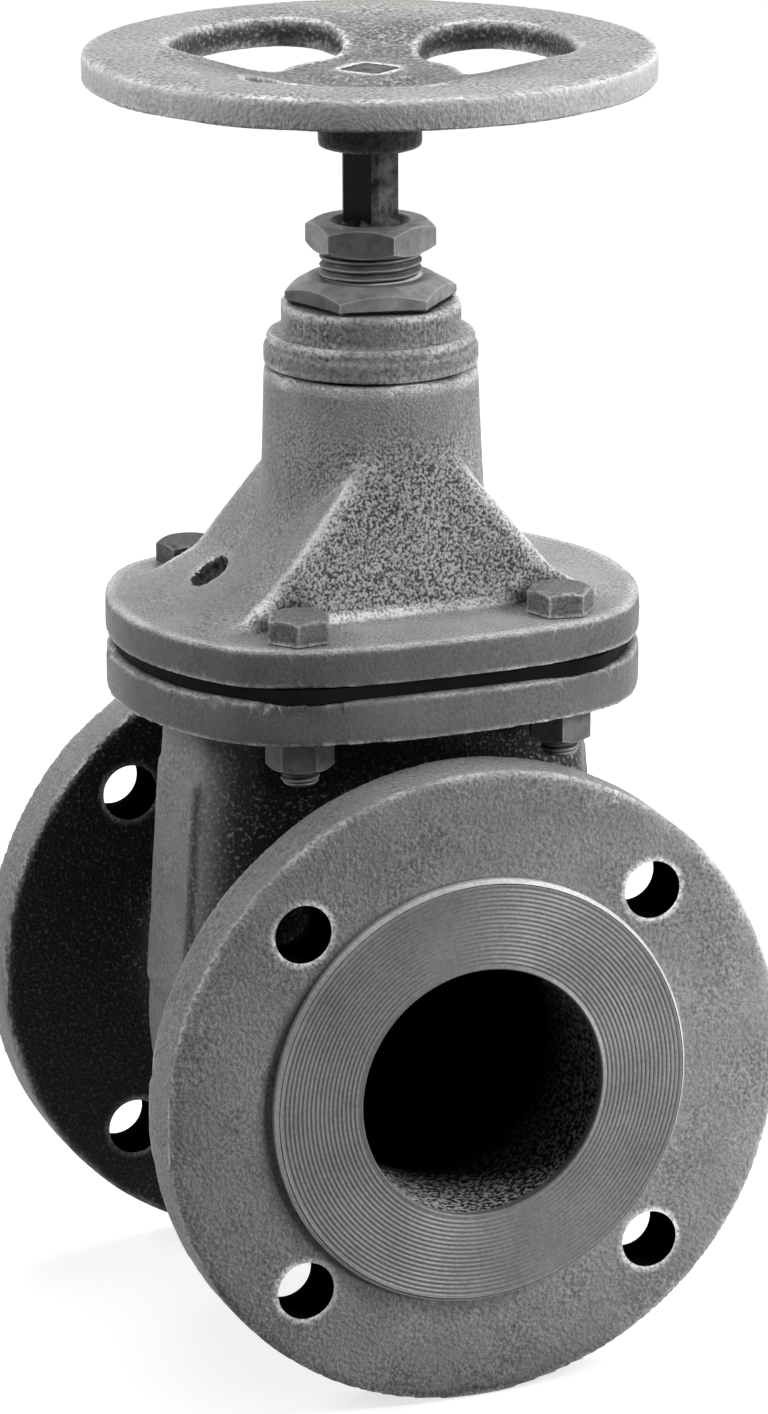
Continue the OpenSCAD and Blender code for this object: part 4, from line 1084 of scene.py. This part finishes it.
steps = (([q - GLAND_CHAMFER for q in reach], [gland_lo[2]] * SIDES),
         (reach, [gland_lo[2] + GLAND_CHAMFER] * SIDES),
         (reach, [CONE_TOP - CONE_SLOPE * (q - CONE_TOP_R) for q in reach]),
         ([CONE_TOP_R] * SIDES, [CONE_TOP] * SIDES))
gland_hex = lofted("gland", [ring_of(q, h, GLAND_TURN) for q, h in steps], (0, MID_Y, 0))
nose = threaded_bars("nose", [(0, MID_Y, gland_hi[2] - NOSE_L / 2)], gland_steel, NOSE_R, NOSE_L,
                     NOSE_PITCH, NOSE_DEPTH, 0.6)
gland = merged("gland_screw", [gland_hex, nose])
cut(gland, [round_bar("bore", STEM_BORE_R, 220, 250, "Z", (0, MID_Y, 0), 64)])
finish_faces(gland, 25)
dress(gland, gland_steel, "valve_body", "plated_steel", "gland")
gland.data.materials.append(shaded_zinc)
# the nose and the left facet: painted shade
for face in gland.data.polygons:
    if face.center.z / MM > CONE_TOP + 0.5 or face.normal.x < -0.8:
        face.material_index = 1
packing_nut = lofted("packing_nut_hexagon", hexagon_rings(35, nut_foot, nut_top, 1.8, 1.8, 29),
                     (0, MID_Y, 0))
cut(packing_nut, [turned("bore", [(0, 240), (STEM_BORE_R, 240), (STEM_BORE_R, 248), (12.8, 251.6),
                                  (0, 251.6)], "Z", (0, MID_Y, 0), 64)])
finish_faces(packing_nut, 25)
dress(packing_nut, gland_steel, "valve_body", "plated_steel", "packing_nut")
packing_nut.data.materials.append(shaded_zinc)
# the front facet: painted shade
for face in packing_nut.data.polygons:
    if face.normal.y < -0.8 and face.normal.x < -0.3:
        face.material_index = 1

# ---- Stem ------------------------------------------------------------------
# A turned steel bar, threaded below for the stem nut and milled square above for
# the wheel, with its corners left round from the bar. It is dark with oil, and
# the square's left side is painted darker as shade.
stem_hi = extent("stem")[1]
# the thread is drawn down to THREAD_FOOT only: below it the stem is hidden in the body
STEM_R, THREAD_FOOT, THREAD_TOP = 9, 96.0, 181.0
STEM_PITCH, STEM_THREAD_DEPTH = 5.0, 2.0
THRUST_FOOT, THRUST_TOP, COLLAR_STEM_R = 190.3, 197.2, stem_hi[0]


def dark_steel(name, hex_code, pale):
    """Turned steel gone dark with oil and dust, in paler and darker clouds."""
    cloud_mm, film_depth_mm = 6, 0.15
    material, tree, place = new_material(name)
    cloud = add(tree, "ShaderNodeTexNoise", {"Vector": place, "Scale": 1000 / cloud_mm,
                                             "Detail": 5, "Roughness": 0.7}).outputs["Fac"]
    ramp = add(tree, "ShaderNodeValToRGB", {0: cloud})
    set_ramp(ramp, (0.4, linear(hex_code)), (0.68, linear(pale)))
    bump = add(tree, "ShaderNodeBump", {"Height": cloud, "Distance": film_depth_mm * MM})
    skin = add(tree, "ShaderNodeBsdfPrincipled", {"Base Color": ramp.outputs[0], "Metallic": 0.08,
                                                  "Specular IOR Level": 0.1, "Roughness": 0.4,
                                                  "Normal": bump.outputs[0]})
    add(tree, "ShaderNodeOutputMaterial", {"Surface": skin.outputs[0]})
    return material


stem_steel = dark_steel("oiled_turned_steel", "161616", "7a7a78")
profile = [(0, 180), (STEM_R, 180), (STEM_R, THRUST_FOOT), (COLLAR_STEM_R, THRUST_FOOT),
           (COLLAR_STEM_R, THRUST_TOP), (STEM_R, THRUST_TOP), (STEM_R, 250), (6.6, 252.4),
           (0, 252.4)]
thread_l = THREAD_TOP - THREAD_FOOT
stem = merged("stem_bar", [
    turned("upper", profile, "Z", (0, MID_Y, 0), 64),
    square_bar("square", 6.75, 8.5, 251, stem_hi[2]),
    threaded_bars("thread", [(0, MID_Y, THREAD_FOOT + thread_l / 2)], stem_steel, STEM_R, thread_l,
                  STEM_PITCH, STEM_THREAD_DEPTH, 1.5)])
finish_faces(stem, 25)
dress(stem, stem_steel, "wheel_and_stem", "stem_steel", "stem")
stem.data.materials.append(dark_steel("shade_dark_steel", "020202", "141414"))
# the square's left side: painted shade
for face in stem.data.polygons:
    if face.center.z / MM > 250 and face.normal.x < -0.5:
        face.material_index = 1

# ---- Inside ----------------------------------------------------------------
# Seat rings, gate faces and stem nut are cast bronze, painted near black as the
# shade inside the body. The gate is bare iron. The gasket and packing are black rubber.


def shaded_bronze(name):
    """Bronze painted near black as shade, in clouds of two dark tones."""
    shade_cloud_mm = 6
    material, tree, place = new_material(name)
    shade_cloud = add(tree, "ShaderNodeTexNoise", {"Vector": place, "Scale": 1000 / shade_cloud_mm,
                                             "Detail": 5, "Roughness": 0.65}).outputs["Fac"]
    ramp = add(tree, "ShaderNodeValToRGB", {0: shade_cloud})
    set_ramp(ramp, (0.38, linear("030303")), (0.7, linear("0b0a07")))
    skin = add(tree, "ShaderNodeBsdfPrincipled", {"Base Color": ramp.outputs[0], "Roughness": 0.6,
                                                  "Specular IOR Level": 0.0})
    add(tree, "ShaderNodeOutputMaterial", {"Surface": skin.outputs[0]})
    return material


def rubber(name):
    """Black gasket rubber, matt with a little dust."""
    dust_mm, dust_depth_mm = 3, 0.3
    material, tree, place = new_material(name)
    dust = add(tree, "ShaderNodeTexNoise", {"Vector": place, "Scale": 1000 / dust_mm,
                                            "Detail": 4}).outputs["Fac"]
    ramp = add(tree, "ShaderNodeValToRGB", {0: dust})
    set_ramp(ramp, (0.45, linear("060606")), (0.75, linear("121211")))
    bump = add(tree, "ShaderNodeBump", {"Height": dust, "Distance": dust_depth_mm * MM})
    skin = add(tree, "ShaderNodeBsdfPrincipled", {"Base Color": ramp.outputs[0],
                                                  "Roughness": 0.75, "Specular IOR Level": 0.1,
                                                  "Normal": bump.outputs[0]})
    add(tree, "ShaderNodeOutputMaterial", {"Surface": skin.outputs[0]})
    return material


bronze = shaded_bronze("shaded_bronze")
gasket_rubber = rubber("black_rubber")
gate_iron = cast_iron("bare_gate_iron", "161615", "343331", "44433f", 1.5, 0.4, 1.0, 10, 1.5)
for name, material in (("inlet_seat_ring", bronze), ("outlet_seat_ring", bronze),
                       ("gate_face_inlet", bronze), ("gate_face_outlet", bronze),
                       ("stem_nut", bronze), ("bonnet_gasket", gasket_rubber),
                       ("stem_packing", gasket_rubber), ("gate", gate_iron)):
    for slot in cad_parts[name].material_slots:
        slot.material = material
